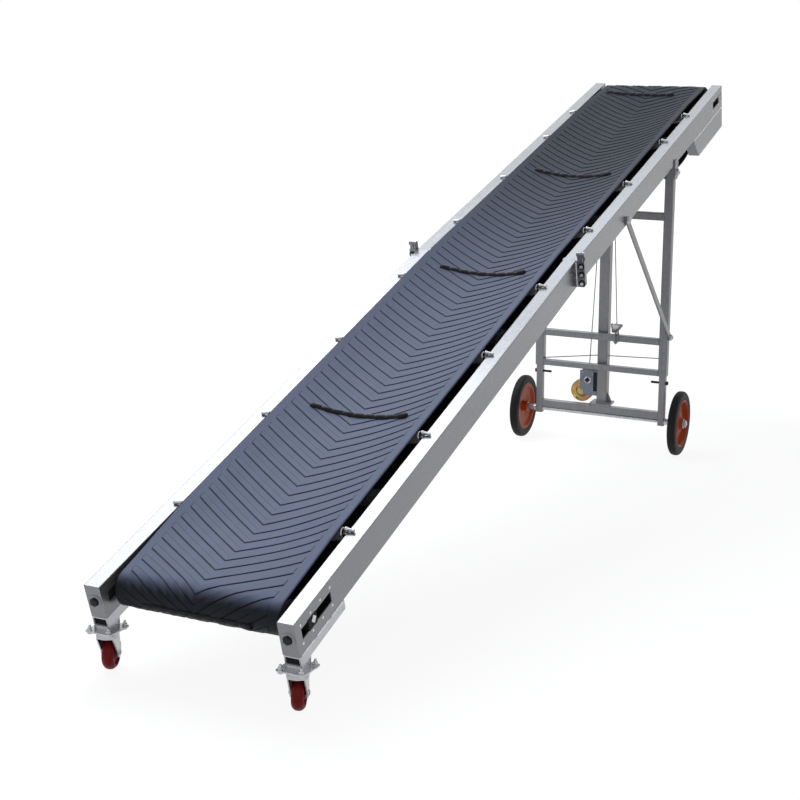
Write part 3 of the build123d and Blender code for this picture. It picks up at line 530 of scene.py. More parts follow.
def bare_metal(name, tint, metallic, rough, grain, turn, spangle, contrast, flank_shade):
    """Metal with a drawn grain, pale and dark clouds and faint zinc crystals. Painted light brightens the upper
    faces, and painted shade changes the flanks' brightness towards the discharge end."""
    f = Finish(name)
    drawn = f.noise(4.0, 1.5, f.stretched(grain, turn))
    clouds = f.noise(2.2, 2.0)
    crystals = f.cells(spangle)
    value = f.math("ADD", f.spread(drawn, -contrast, contrast), f.spread(clouds, 1 - contrast, 1 + contrast))
    value = f.math("ADD", value, f.spread(crystals, -contrast / 4, contrast / 4))
    # Painted shade on the flanks and painted light on the upper faces, changing along the row
    flank = f.spread(f.x, 1.0, flank_shade, *PAINTED_FLANK_SHADE_RUN)
    upper = f.spread(f.x, *PAINTED_TOP_LIGHT, *PAINTED_TOP_LIGHT_RUN)
    value = f.math("MULTIPLY", value, f.spread(f.facing_up, flank, upper, *FACING_UP))
    roughness = f.math("ADD", f.spread(drawn, rough - 0.04, rough + 0.04), f.spread(crystals, -0.02, 0.02))
    f.done(drawn, 0.00002, Base_Color=f.shaded(tint, value), Metallic=metallic, Roughness=roughness)


def plated(name, tint, metallic, rough):
    """Plated steel with small cloudy patches and fine pits."""
    f = Finish(name)
    patches = f.noise(38.0, 4.0)
    pits = f.noise(420.0, 2.0)
    value = f.math("ADD", f.spread(patches, 0.82, 1.12), f.spread(pits, -0.05, 0.05))
    f.done(pits, 0.0002, Base_Color=f.shaded(tint, value), Metallic=metallic,
           Roughness=f.spread(patches, rough - 0.1, rough + 0.12))


def fork_zinc_painted_shade(name, tint, axle, axis):
    """Zinc of a caster fork: bright outside, with painted shade in a near-black colour between its blades,
    which are found by their distance along the wheel's axis and by their height."""
    f = Finish(name)
    patches = f.noise(38.0, 4.0)
    aside = f.vector("DOT_PRODUCT", f.vector("SUBTRACT", f.row, tuple(axle)), tuple(axis), "Value")
    aside = f.math("ABSOLUTE", aside)
    # Painted shade: share of near-black between the blades and under the yoke
    between = f.math("MULTIPLY", f.spread(aside, 1.0, 0.0, FORK_INNER, FORK_INNER + FORK_FADE),
                     f.spread(f.z, 1.0, 0.0, YOKE_UNDER, YOKE_UNDER + FORK_FADE))
    bright = f.shaded(tint, f.spread(patches, 0.82, 1.12))
    f.done(Base_Color=f.mixed(between, bright, (0.018, 0.018, 0.020)), Metallic=0.6,
           Roughness=f.spread(patches, 0.2, 0.42))


def passivated(name, tint):
    """Yellow passivated zinc whose film drifts from straw to rose and green."""
    f = Finish(name)
    film = f.noise(22.0, 3.0)
    rose = f.mixed(f.spread(film, 0.0, 1.0, 0.35, 0.6), tint, (0.34, 0.17, 0.085))
    green = f.mixed(f.spread(f.noise(31.0, 2.0), 0.0, 0.7, 0.5, 0.7), rose, (0.33, 0.38, 0.13))
    f.done(film, 0.0003, Base_Color=green, Metallic=0.92, Roughness=f.spread(film, 0.16, 0.32))


def painted(name, tint, rough, coat):
    """Gloss paint with a faint ripple and chalky clouds."""
    f = Finish(name)
    clouds = f.noise(14.0, 4.0)
    f.done(f.noise(260.0, 2.0), 0.0001, Base_Color=f.shaded(tint, f.spread(clouds, 0.84, 1.14)),
           Roughness=f.spread(clouds, rough - 0.06, rough + 0.1), Specular_IOR_Level=0.12, Coat_Weight=coat,
           Coat_Roughness=0.12)


def rubber(name, tint, rough, dust):
    """Dull black of rubber and blackened steel, with a fine grain and a trace of pale dust in clouds."""
    f = Finish(name)
    grain = f.noise(520.0, 2.0)
    powdered = f.mixed(f.spread(f.noise(9.0, 4.0), 0.0, dust, 0.45, 0.75), tint, (0.20, 0.19, 0.18))
    f.done(grain, 0.0002, Base_Color=powdered, Roughness=f.spread(grain, rough - 0.08, rough + 0.1),
           Specular_IOR_Level=0.16)


def belt_rubber(name, tint):
    """Black belt rubber under a blue-grey dust on the carrying run, with painted light that is brightest at the
    loading end and painted shade in the grooves, cloudy along the belt, with a fine pressed grain."""
    f = Finish(name)
    drawn = f.noise(3.0, 4.0, f.stretched((1.0, 0.12, 1.0), (0, -TAIL_PITCH, 0)))
    grain = f.noise(600.0, 2.0)
    value = f.math("ADD", f.spread(drawn, 0.84, 1.16), f.spread(grain, -0.06, 0.06))
    # Painted light along the row: the dusty face is brightest at the loading end and darker towards the discharge
    # end
    painted_light_run = f.math("MULTIPLY", f.spread(f.x, 1.84, 0.30, -1.7, 1.2), f.spread(f.x, 1.0, 0.64, -0.3, 0.8))
    value = f.math("MULTIPLY", value, painted_light_run)
    face = f.mixed(f.attribute("dust"), (0.016, 0.017, 0.021), f.shaded(tint, value))
    # Painted shade: the recess attribute mixes the face towards near-black in the grooves
    dark = f.mixed(f.attribute("recess"), face, (0.005, 0.005, 0.007))
    f.done(grain, 0.0001, Base_Color=dark, Roughness=f.spread(drawn, 0.46, 0.58), Specular_IOR_Level=0.13,
           Specular_Tint=(0.70, 0.86, 1.0))


def cleat_rubber(name, tint):
    """Black rubber of the cleats, with a painted highlight in a pale colour along the tops of their lobes."""
    f = Finish(name)
    grain = f.noise(500.0, 2.0)
    # Painted highlight: pale colour mixed in along the lobes' tops
    worn = f.mixed(f.attribute("crest"), tint, (0.34, 0.35, 0.37))
    f.done(grain, 0.0003, Base_Color=worn, Roughness=f.spread(grain, 0.40, 0.56), Specular_IOR_Level=0.15)


# Nodes unlike the rest of their slot: drums in black lagging, also standing in for the shade at their ends, black
# take-up blocks, plated feet, forks with painted shade
NODE_FINISH = {"tail_drum": "belt_lining", "head_drum": "belt_lining"}
for _name in SIDES:
    NODE_FINISH[f"take_up_{_name}"] = "belt_lining"
    NODE_FINISH[f"caster_foot_{_name}"] = "zinc"
    NODE_FINISH[f"caster_fork_{_name}"] = f"fork_zinc_{_name}"


class CONVEYOR_OT_finishes(bpy.types.Operator):
    """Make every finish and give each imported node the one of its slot."""
    bl_idname = "conveyor.finishes"
    bl_label = "Finishes"

    def execute(self, context):
        colours = context.scene.conveyor_colours
        c = {key: tuple(getattr(colours, key)) for key in ConveyorColours.__annotations__}
        rail_grain, leg_grain = (1.2, 0.03, 0.03), (0.03, 0.03, 1.2)
        bare_metal("rail_metal", c["rail"], 0.60, 0.26, rail_grain, (0, -TAIL_PITCH, 0), 34.0, 0.07, 0.66)
        bare_metal("leg_steel", c["leg"], 0.40, 0.36, leg_grain, (0, 0, 0), 60.0, 0.20, 1.03)
        plated("roller_steel", c["roller"], 0.75, 0.34)
        plated("zinc", c["zinc"], 0.7, 0.26)
        plated("weld_metal", c["weld"], 0.7, 0.36)
        plated("rope_steel", c["rope"], 0.7, 0.42)
        passivated("yellow_zinc", c["gold"])
        painted("orange_rim", c["rim"], 0.40, 0.06)
        painted("winch_grey", c["winch"], 0.42, 0.1)
        painted("red_wheel", c["caster"], 0.42, 0.0)
        rubber("black_steel", c["black"], 0.42, 0.03)
        rubber("tyre", c["tyre"], 0.58, 0.10)
        # Black rubber of the drums' lagging, which also stands in for their shade, and of the take-up blocks; also
        # the black of the painted shade inside the rail ends and foot tubes
        rubber("belt_lining", c["cleat"], 0.7, 0.05)
        belt_rubber("belt_rubber", c["belt"])
        cleat_rubber("cleat_rubber", c["cleat"])
        for name in SIDES:
            roll = JOINTS[f"caster_roll_{name}"]
            fork_zinc_painted_shade(f"fork_zinc_{name}", c["zinc"], roll["pos_m"], roll["axis"])
        for name, node in frame["nodes"].items():
            node.data.materials.clear()
            node.data.materials.append(FINISHES[NODE_FINISH.get(name, SLOTS[name])])
        return {"FINISHED"}


# Belt

BELT_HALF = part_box("belt_tail_half")[1].y
DRUM = {half: to_local(SECTION[half], centre(half + "_drum")) for half in SECTION}
DRUM_R = 0.045
RIB_EDGE_AT = -1.511
RETURN_LEAD = 0.010
EDGE_ROUND = 0.0025
RIB_END = 0.0015
PAST_RIB = 0.002
EASE_SWELL = 0.35
# Painted shade in the grooves beyond and before the ribs' right arms, along their left arms and at their left ends
GROOVE_SHADE_BEYOND, GROOVE_SHADE_BEFORE, GROOVE_SHADE_LEFT, RIB_TIP_SHADE = 0.25, 1.0, 0.55, 0.8
# Rise of the face's normal at which dust begins to lie, and the further rise to a full coat
DUST_FROM, DUST_OVER = 0.45, 0.4


def arc_radius(b):
    """Radius of the trough's arc, from the belt's half width and the trough's depth."""
    return (BELT_HALF ** 2 + b.sag ** 2) / (2 * b.sag)


def trough(b, t):
    """Height over the rail tops of the trough's arc at a place across the belt."""
    radius = arc_radius(b)
    return b.edge_up - b.sag + radius - np.sqrt(radius ** 2 - t ** 2)


def loop_lengths(b):
    """Lengths of tail run, head run and one drum wrap."""
    return -DRUM["tail"][0], DRUM["head"][0], pi * (DRUM_R + b.thickness / 2)


def belt_face(b, sigma, t):
    """Outer face of the belt at the distance sigma round the loop and the place t across: the carrying run
    from the tail drum over the fold to the head drum, a half circle, the return run that sags behind the
    leg, and the other half circle. The carrying run is an arc across that eases to a flat at the drums."""
    tail, head, wrap = loop_lengths(b)
    ends = np.cumsum([tail, head, wrap, head, tail, wrap])
    sigma = np.mod(sigma, ends[-1])
    part = np.searchsorted(ends, sigma, side="right")
    along = sigma - np.concatenate([[0], ends])[part]
    axis_n, outer = DRUM["head"][2], DRUM_R + b.thickness
    top, low = axis_n + outer, axis_n - outer

    carry = np.where(part == 0, along - tail, along)
    ease = np.clip(np.minimum(carry + tail, head - carry) / b.lead, 0, 1)
    ease = ease * (1 + EASE_SWELL * (1 - ease) * (2 * ease - 1))
    carry_n = top + ease * (trough(b, t) - top)

    turn = along / wrap * pi
    back = head - along
    hang_from = to_local(HEAD, centre("head_return_roller"))[0] + RETURN_LEAD
    span = np.clip((back - hang_from) / (head - hang_from), 0, 1)
    return_n = low - 4 * b.return_sag * span * (1 - span)

    round_s, round_n = outer * np.sin(turn), outer * np.cos(turn)
    s = np.choose(part, [carry, carry, head + round_s, back, -along, -tail - round_s])
    n = np.choose(part, [carry_n, carry_n, axis_n + round_n, return_n, low + 0 * along, axis_n - round_n])
    points = np.stack([s, t + 0 * s, n], -1)
    on_tail = np.isin(part, (0, 4, 5))[..., None]
    return np.where(on_tail, to_row(TAIL, points), to_row(HEAD, points))


class CONVEYOR_OT_belt(bpy.types.Operator):
    """Ribbed belt: a closed grid whose columns run round both faces and whose rows follow the ribs. A row
    runs on by the sweep times its step from the apex, less the bow times that step squared; a point is the
    belt's face moved along its normal by the relief of its row less the depth of its column."""
    bl_idname = "conveyor.belt"
    bl_label = "Belt"

    def execute(self, context):
        b = context.scene.conveyor_belt
        tail, head, wrap = loop_lengths(b)
        loop = 2 * (tail + head + wrap)
        count = round(loop / b.rib_pitch)
        pitch = loop / count
        # Rows of one pitch: place along the belt, height over the face, painted groove shade
        g, h, w = b.groove, b.rib_relief, b.rib_width
        rows = np.array([(-0.0060, 0, 0), (-0.0046, 0, 0), (-0.0036, -g, 1), (-0.0006, -g, 1),
                         (0.0006, h, 0.1), (0.0020, h, 0), (0.5 * w, h, 0), (w - 0.0024, h, 0),
                         (w - 0.0010, h, 0.1), (w + 0.0003, -g / 2, 0.8), (w + 0.0018, 0, 0.1),
                         (w + 0.0032, 0, 0), ((w + pitch - 0.0028) / 2, 0, 0)])
        q = (np.arange(count)[:, None] * pitch + rows[:, 0]).ravel() + tail + RIB_EDGE_AT
        # Columns: place across, depth under the outer face, share of the relief
        right, left = b.margin_right - BELT_HALF, BELT_HALF - b.margin_left
        edge = BELT_HALF - EDGE_ROUND
        arms = np.concatenate([np.linspace(right + RIB_END, b.apex, 9),
                               np.linspace(b.apex, left - RIB_END, 9)[1:]])
        over = np.concatenate([[-edge, (right - BELT_HALF) / 2, right - PAST_RIB, right], arms,
                               [left, left + PAST_RIB, (left + BELT_HALF) / 2, edge]])
        under = np.linspace(edge, -edge, 7)
        across = np.concatenate([over, [BELT_HALF] * 2, under, [-BELT_HALF] * 2])
        lower = b.thickness - EDGE_ROUND
        depth = np.concatenate([0 * over, [EDGE_ROUND, lower], 0 * under + b.thickness, [lower, EDGE_ROUND]])
        ribbed = np.isin(across, arms) * (depth == 0)

        aside_by = np.abs(across - b.apex)
        sigma = q[:, None] + b.sweep * aside_by - b.bow * aside_by ** 2
        t = np.broadcast_to(across, sigma.shape)
        step = 0.0005
        inner_t = np.clip(t, step - BELT_HALF, BELT_HALF - step)
        ahead = belt_face(b, sigma + step, t) - belt_face(b, sigma - step, t)
        aside = belt_face(b, sigma, inner_t + step) - belt_face(b, sigma, inner_t - step)
        normal = np.cross(ahead, aside)
        normal /= np.linalg.norm(normal, axis=-1, keepdims=True)
        relief = np.tile(rows[:, 1], count)[:, None] * ribbed - depth
        points = belt_face(b, sigma, t) + relief[..., None] * normal
        shape = grid(points, close_u=True, close_v=True)
        belt = add_piece("belt", shape, "belt_rubber", sharp=35.0)
        # Painted shade: darkness of each point in the grooves and at the ribs' left ends, kept in the recess
        # attribute
        rib_tip_shade = RIB_TIP_SHADE * (across == left) * (depth == 0)
        right_arm_shade = np.where(rows[:, 0, None] > w / 2, GROOVE_SHADE_BEYOND, GROOVE_SHADE_BEFORE)
        packed = np.where((across < b.apex)[None], right_arm_shade, GROOVE_SHADE_LEFT)
        dark = rows[:, 2, None] * ribbed * packed + (rows[:, 1, None] > 0) * rib_tip_shade
        write_attribute(belt, "recess", np.tile(dark, (count, 1)))
        dust = np.clip((normal[..., 2] - DUST_FROM) / DUST_OVER, 0, 1)
        write_attribute(belt, "dust", dust * (depth < lower))
        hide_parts("belt_tail_half", "belt_head_half")
        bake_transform(belt)
        return {"FINISHED"}


CLEAT_HALF = 0.168
CLEAT_LOBES = 9
LIFT_FROM, END_LIFT = 0.118, 0.005
# Place along the section and place of the middle across
CLEATS = {"tail": ((-1.200, 0.0), (-0.130, 0.003)), "head": ((0.945, 0.012), (2.078, 0.044))}
RETURN_CLEATS = {"tail": (-1.690, -0.610), "head": (0.460,)}
# Cleat round the tail drum: its turn, the height share of its lobes, and the share of its painted highlight
WRAP_CLEAT = {"turn": radians(76.0), "low": 0.65, "bright": 0.06}
# Cleat's section: share of its half length, share of its height, share of painted highlight
CLEAT_SECTION = np.array([(1, -0.1, 0), (1, 0.22, 0), (0.86, 0.62, 0.7), (0.62, 0.93, 1),
                          (0.25, 1.0, 0), (-0.30, 0.96, 0), (-0.62, 0.78, 0), (-0.86, 0.42, 0),
                          (-1, 0.16, 0), (-1, -0.1, 0)])


def cleat(b, trim, sigma, middle=0.0, worn=1.0, bright=1.0):
    """Lobed strip across the belt: a rounded section carried across the trough, lower in the gaps between
    lobes and lifted a little at its right end. Returns the shape and each point's share of painted highlight."""
    t = np.linspace(-CLEAT_HALF, CLEAT_HALF, CLEAT_LOBES * 10 + 1)[:, None]
    wave = np.abs(np.sin(pi * CLEAT_LOBES * (t + CLEAT_HALF) / (2 * CLEAT_HALF)))
    lobe = worn * (0.56 + 0.44 * wave ** 0.45)
    lift = END_LIFT * np.clip((-t - LIFT_FROM) / (CLEAT_HALF - LIFT_FROM), 0, 1) ** 2
    long, high, crest = CLEAT_SECTION.T
    ds = long * trim.cleat_length / 2 + 0 * t
    dn = high * trim.cleat_height * lobe + lift * (high > 0)
    across = np.broadcast_to(t + middle, ds.shape)
    base = belt_face(b, sigma + ds, across)
    step = 0.001
    ahead = belt_face(b, sigma + ds + step, across) - base
    up = np.cross(ahead, belt_face(b, sigma + ds, across + step) - base)
    up /= np.linalg.norm(up, axis=-1, keepdims=True)
    # Share of painted highlight: the section's highlight column where a lobe stands high, times the brightness
    # given
    return capped(base + dn[..., None] * up), bright * (crest * np.clip(3 * wave - 1.9, 0, 1)).ravel()


class CONVEYOR_OT_cleats(bpy.types.Operator):
    """Lobed cleats on both strands and part of the way round the tail drum, one piece for each section."""
    bl_idname = "conveyor.cleats"
    bl_label = "Cleats"

    def execute(self, context):
        b, trim = context.scene.conveyor_belt, context.scene.conveyor_trim
        tail, head, wrap = loop_lengths(b)
        for half in SECTION:
            made = [cleat(b, trim, tail + s, t) for s, t in CLEATS[half]]
            made += [cleat(b, trim, tail + head + wrap + head - s) for s in RETURN_CLEATS[half]]
            if half == "tail":
                made.append(cleat(b, trim, wrap * (WRAP_CLEAT["turn"] / pi - 1), 0.0, WRAP_CLEAT["low"],
                                  WRAP_CLEAT["bright"]))
            shapes, crests = zip(*made)
            piece = add_piece(f"cleats_{half}", join(*shapes), "cleat_rubber", BODY[half])
            write_attribute(piece, "crest", np.concatenate(crests))
        return {"FINISHED"}


IDLER_R = 0.017
WING_IN, WING_OUT = 0.100, 0.252
# Roller end cap: step out from the roller's radius, height
CAP_RIM = np.array([(-0.0045, -0.002), (0.0008, -0.002), (0.0012, 0.0006), (-0.0006, 0.0022),
                    (-0.0036, 0.0014)])
CAP_SEAL = [(IDLER_R - 0.004, -0.001), (IDLER_R - 0.004, 0.0004), (0.0075, 0.0007)]


class CONVEYOR_OT_idler_caps(bpy.types.Operator):
    """Pressed end caps of the wing rollers: turned discs with a rolled rim, a recess and a dark seal."""
    bl_idname = "conveyor.idler_caps"
    bl_label = "Idler end caps"

    def execute(self, context):
        b = context.scene.conveyor_belt
        middle = (WING_IN + WING_OUT) / 2
        lean = asin(middle / arc_radius(b))
        reach = (WING_OUT - WING_IN) / cos(lean) / 2
        t = middle + reach * cos(lean) + IDLER_R * sin(lean)
        n = trough(b, middle) - b.thickness + reach * sin(lean) - IDLER_R * cos(lean)
        rim = turned(CAP_RIM + (IDLER_R, 0), 24, ring=True)
        seal = turned(CAP_SEAL, 24)
        for half, local in SECTION.items():
            stations = [(to_local(local, centre(node))[0], t, n) for node in IDLERS[half]]
            places = both_sides(*stations, axis=(0, cos(lean), sin(lean)))
            fasten(f"idler_rims_{half}", rim, places, local, "zinc", BODY[half])
            fasten(f"idler_seals_{half}", seal, places, local, "black_steel", BODY[half])
        return {"FINISHED"}


# Leg trim: places are fore and aft, across, and up the leg from the axle

POST_IN, POST_OUT = 0.280, 0.320
POST_V = 0.003
SHEAVE = to_local(LEG, centre("rope_sheave"))
WINCH_DRUM = to_local(LEG, centre("winch_drum"))[1:]
WINCH_CORE = 0.024
SHEAVE_R = 0.030
LOW_BAR, MID_BAR, TOP_BAR = (0.219, 0.245), (0.366, 0.396), (0.943, 0.978)
BAR_FACES = (-0.017, 0.013)
ANCHOR = (-0.062, 0.392)
ROPE_SET = 0.002
ROPE_STEP = 0.002
DRUM_TURNS, COIL_W = 4.4, 0.021
TIE_WIRE = [(0.003, 0.281, 0.251), (0.078, 0.032, 0.269), (0.078, -0.032, 0.271), (0.003, -0.281, 0.300)]


class CONVEYOR_OT_ropes(bpy.types.Operator):
    """Winch rope: stranded runs from the drum over the sheave down to the anchor, the turns on the drum,
    and the tie wire that bends behind the centre post."""
    bl_idname = "conveyor.ropes"
    bl_label = "Ropes"

    def execute(self, context):
        trim = context.scene.conveyor_trim
        r, v = trim.rope_radius, SHEAVE[0]
        drum_t, drum_u = WINCH_DRUM
        reach = SHEAVE_R + ROPE_SET

        def rope(path):
            return stranded(to_row(LEG, path), r, trim.rope_lay, LEG[:3, 0])

        winch_run = straight((v, drum_t - WINCH_CORE - r, drum_u), (v, reach, SHEAVE[2]), ROPE_STEP)
        piece = add_piece("rope_to_winch", rope(winch_run), "rope_steel", "lower_leg")
        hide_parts("rope_winch_run")
        foot, top = (v, ANCHOR[0], ANCHOR[1] + 0.0003), (v, -reach, SHEAVE[2])
        fall = add_piece("rope_to_anchor", rope(straight(foot, top, ROPE_STEP)), "rope_steel")
        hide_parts("rope_fall")
        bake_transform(fall)

        turn = np.linspace(0, pi, 40)
        over = np.stack([0 * turn + v, reach * np.cos(turn), SHEAVE[2] + reach * np.sin(turn)], -1)
        turns = np.linspace(0, 2 * pi * DRUM_TURNS, 260)
        coil_r = WINCH_CORE + r
        coil = np.stack([v + COIL_W * (turns / turns[-1] - 0.5), drum_t - coil_r * np.cos(turns),
                         drum_u - coil_r * np.sin(turns)], -1)
        add_piece("rope_turns", join(rope(over), rope(coil)), "rope_steel", "lower_leg")

        wire = swept(to_row(LEG, rounded_path(TIE_WIRE, 0.03)), circle(trim.wire_radius, 10), LEG[:3, 2])
        add_piece("tie_wire", wire, "leg_steel", "head_section")
        return {"FINISHED"}


# Wedge of the rope end: height over the bar, half width, half depth, place of its middle beside the rope
WEDGE = np.array([(0.000, 0.012, 0.0080, 0.009), (0.012, 0.014, 0.0090, 0.007),
                  (0.026, 0.021, 0.0100, 0.003), (0.036, 0.026, 0.0100, 0.0), (0.041, 0.020, 0.0060, 0.0)])
ROPE_BESIDE = 0.0012
WEDGE_FORE = 0.004
STRAP_T = -0.076
STRAP_HALF = 0.0125
STRAP_GAP = 0.0022
STRAP_TIP = 0.012


class CONVEYOR_OT_rope_anchor(bpy.types.Operator):
    """Rope end at the middle bar: a strap over the bar with a pointed front plate, a wedge whose rounded
    outline widens as it rises, and the rope bent down one flank of the wedge and up the other."""
    bl_idname = "conveyor.rope_anchor"
    bl_label = "Rope anchor"

    def execute(self, context):
        trim = context.scene.conveyor_trim
        t, v = ANCHOR[0], SHEAVE[0] - WEDGE_FORE
        low, high = MID_BAR
        front, back = BAR_FACES[0] - STRAP_GAP, BAR_FACES[1] + STRAP_GAP
        over = [(back, STRAP_T, low + 0.003), (back, STRAP_T, high + STRAP_GAP),
                (front, STRAP_T, high + STRAP_GAP), (front, STRAP_T, low + 0.004)]
        flat = np.array([(-1, -1), (1, -1), (1, 1), (-1, 1)]) * (STRAP_HALF, 0.0015)
        strap = swept(rounded_path(over, 0.004), flat, (0, 1, 0))
        tip = low - STRAP_TIP
        outline = np.array([(-1, high), (1, high), (1, low), (0.15, tip), (-0.15, tip), (-1, low)])
        depth = front + np.array([[-0.0032], [-0.0016]])
        plate = np.stack(np.broadcast_arrays(depth, STRAP_T + STRAP_HALF * outline[:, 0], outline[:, 1]), -1)
        add_piece("rope_strap", moved(join(strap, capped(plate)), LEG), "leg_steel", "head_section")

        wide_by, deep_by = squared(0.5, 24).T
        up, wide, deep, aside = WEDGE.T[..., None]
        body = np.stack(np.broadcast_arrays(v + deep * deep_by, t + aside + wide * wide_by, high + up), -1)
        add_piece("rope_wedge", moved(capped(body), LEG), "zinc", "head_section")
        flanks = [np.concatenate([0 * up + v, t + aside + way * (wide + ROPE_BESIDE), high + up], -1)
                  for way in (-1, 1)]
        bend = to_row(LEG, rounded_path(np.concatenate([flanks[0][::-1], flanks[1]]), 0.004))
        loop = stranded(bend, 1.3 * trim.rope_radius, trim.rope_lay, LEG[:3, 0])
        add_piece("rope_end", loop, "rope_steel", "head_section")
        return {"FINISHED"}


LOCK_PIN = {"up": 0.185, "inner": 0.2445, "head": 0.3152, "shank_r": 0.0055, "shank": 0.0400,
            "head_r": 0.0096}
LUG_DOWN, LUG_OUT = 0.0495, 0.006
BRACE_END, BRACE_OUT = 0.014, 0.008
HUB_OUT = 0.4065


class CONVEYOR_OT_leg_trim(bpy.types.Operator):
    """Leg fasteners, turned about their own axes: blackened lock pins whose heads have a neck, the bolts
    of lugs and braces, and the hub nuts."""
    bl_idname = "conveyor.leg_trim"
    bl_label = "Leg trim"

    def execute(self, context):
        shank, head = LOCK_PIN["shank_r"], LOCK_PIN["head_r"]
        neck = 0.8 * head
        pin = turned([(0.8 * shank, 0), (shank, 0.002), (shank, LOCK_PIN["shank"])], 16)
        knob = turned([(neck, 0), (neck, 0.0050), (head, 0.0052), (head, 0.0085), (neck, 0.0105)], 20)
        shape = join(scatter(pin, both_sides((POST_V, LOCK_PIN["inner"], LOCK_PIN["up"]))),
                     scatter(knob, both_sides((POST_V, LOCK_PIN["head"], LOCK_PIN["up"]))))
        add_piece("lock_pins", moved(shape, LEG), "black_steel", "lower_leg")

        lug_u = to_local(LEG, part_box("leg_post_left")[1])[2] - LUG_DOWN
        lugs = np.concatenate([both_sides((POST_V, POST_OUT + LUG_OUT, lug_u)),
                               both_sides((POST_V, POST_IN - LUG_OUT, lug_u), axis=(0, -1, 0))])
        fasten("lug_bolts", nut_on_stud("lug"), lugs, LEG, "zinc", "head_section")

        low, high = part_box("leg_brace_left")
        out = RAIL_OUT + BRACE_OUT
        braces = both_sides((low.x + BRACE_END, out, high.z - BRACE_END),
                            (high.x - BRACE_END, out, low.z + BRACE_END))
        fasten("brace_bolts", nut_on_stud("brace"), braces, ROW, "zinc", "head_section")
        fasten("hub_nuts", nut_on_stud("hub"), both_sides((0, HUB_OUT, 0)), LEG, "zinc", "lower_leg")
        return {"FINISHED"}


CENTRE_POST = (0.021, 0.069)
WINCH_IN = 0.002
WINCH_SHAFT = (-0.031, 0.058)
# Rivets of the winch's cheek: place across and up from the shaft
WINCH_RIVETS = ((-0.024, 0.032), (0.024, 0.034), (-0.024, -0.044))
SPACER_T, SPACER_U = 0.0325, (0.104, 0.196)
SPACER = np.array([(-0.008, -0.0025), (0.006, -0.0025), (0.008, -0.001), (0.008, 0.0025), (-0.008, 0.0025)])
# Front half of the winch drum: radius, depth behind the centre post's front
DRUM_OUTLINE = np.array([(0.0079, -0.0055), (0.0079, 0.0092), (0.0225, 0.0092), (0.0250, 0.0108),
                         (0.0275, 0.0135), (0.0330, 0.0142), (0.0400, 0.0136), (0.0455, 0.0114),
                         (0.0490, 0.0094), (0.0514, 0.0093), (0.0530, 0.0110), (0.0530, 0.0130),
                         (0.0516, 0.0142), (0.0480, 0.0142), (0.0430, 0.0156), (0.0340, 0.0166),
                         (0.0240, 0.0162)])


class CONVEYOR_OT_winch_trim(bpy.types.Operator):
    """Winch: the drum turned with dished flanges and rolled lips, the square nut on the shaft, the
    drum pin's nut, rivets, the black spacer at the post, which also stands in for the shade in the gap
    between cheek and post, and the sheave pin's nut."""
    bl_idname = "conveyor.winch_trim"
    bl_label = "Winch trim"

    def execute(self, context):
        front, rear = CENTRE_POST
        cheek = front + WINCH_IN
        t, u = WINCH_DRUM
        shaft_t, shaft_u = t + WINCH_SHAFT[0], u + WINCH_SHAFT[1]
        ahead = (-1, 0, 0)
        back_half = DRUM_OUTLINE[::-1] * (1, -1) + (0, rear - front)
        back_half[-1, 1] = rear - front
        outline = np.concatenate([DRUM_OUTLINE, back_half])
        drum = moved(scatter(turned(outline, 56), standing([(front, t, u)], (1, 0, 0))), LEG)
        piece = add_piece("winch_drum_flanged", drum, "yellow_zinc", "lower_leg", 50.0)
        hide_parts("winch_drum")

        shaft = standing([(cheek, shaft_t, shaft_u)], ahead)
        spots = [(cheek, shaft_t + across, shaft_u + up) for across, up in WINCH_RIVETS]
        nuts = join(scatter(turned([(0.0170, 0), (0.0170, 0.0012), (0.0158, 0.0018)], 28), shaft),
                    scatter(nut_on_stud("drum"), standing([(cheek, t, u)], ahead)),
                    scatter(dome(0.0036, 0.0022), standing(spots, ahead)),
                    scatter(nut_on_stud("sheave"), standing([(front, 0, SHEAVE[2])], ahead)))
        add_piece("winch_nuts", moved(nuts, LEG), "zinc", "lower_leg")
        square = turned([(0.0134, 0.001), (0.0134, 0.0088), (0.0118, 0.0106)], 4)
        fasten("winch_shaft_nut", square, shaft, LEG, "black_steel", "lower_leg")
        # Black spacer at the post, which also stands in for the shade between cheek and post
        path = straight(*[(front + 0.0005, SPACER_T, up) for up in SPACER_U], 0.02)
        spacer = moved(swept(path, SPACER, ahead), LEG)
        add_piece("winch_spacer", spacer, "black_steel", "lower_leg")
        return {"FINISHED"}


# Wheels

# Tyre's half outline: radius, place from the middle plane
TYRE_OUTLINE = np.array([(0.1500, 0.0), (0.1499, 0.0026), (0.1482, 0.0032), (0.1482, 0.0048),
                         (0.1496, 0.0054), (0.1489, 0.0092), (0.1473, 0.0097), (0.1472, 0.0111),
                         (0.1482, 0.0117), (0.1466, 0.0142), (0.1448, 0.0160), (0.1420, 0.0175),
                         (0.1410, 0.0188), (0.1392, 0.0192), (0.1380, 0.0186), (0.1340, 0.0195),
                         (0.1290, 0.0199), (0.1240, 0.0196), (0.1200, 0.0187), (0.1188, 0.0192),
                         (0.1170, 0.0190), (0.1160, 0.0180), (0.1120, 0.0172)])
# Raised rings of the rim: half sizes and middle of an oval, as radius and place from the middle plane
RIM_LIP = ((0.0035, 0.0030), (0.1085, 0.0168))
RIM_RIDGE = ((0.0030, 0.0022), (0.0560, -0.0008))


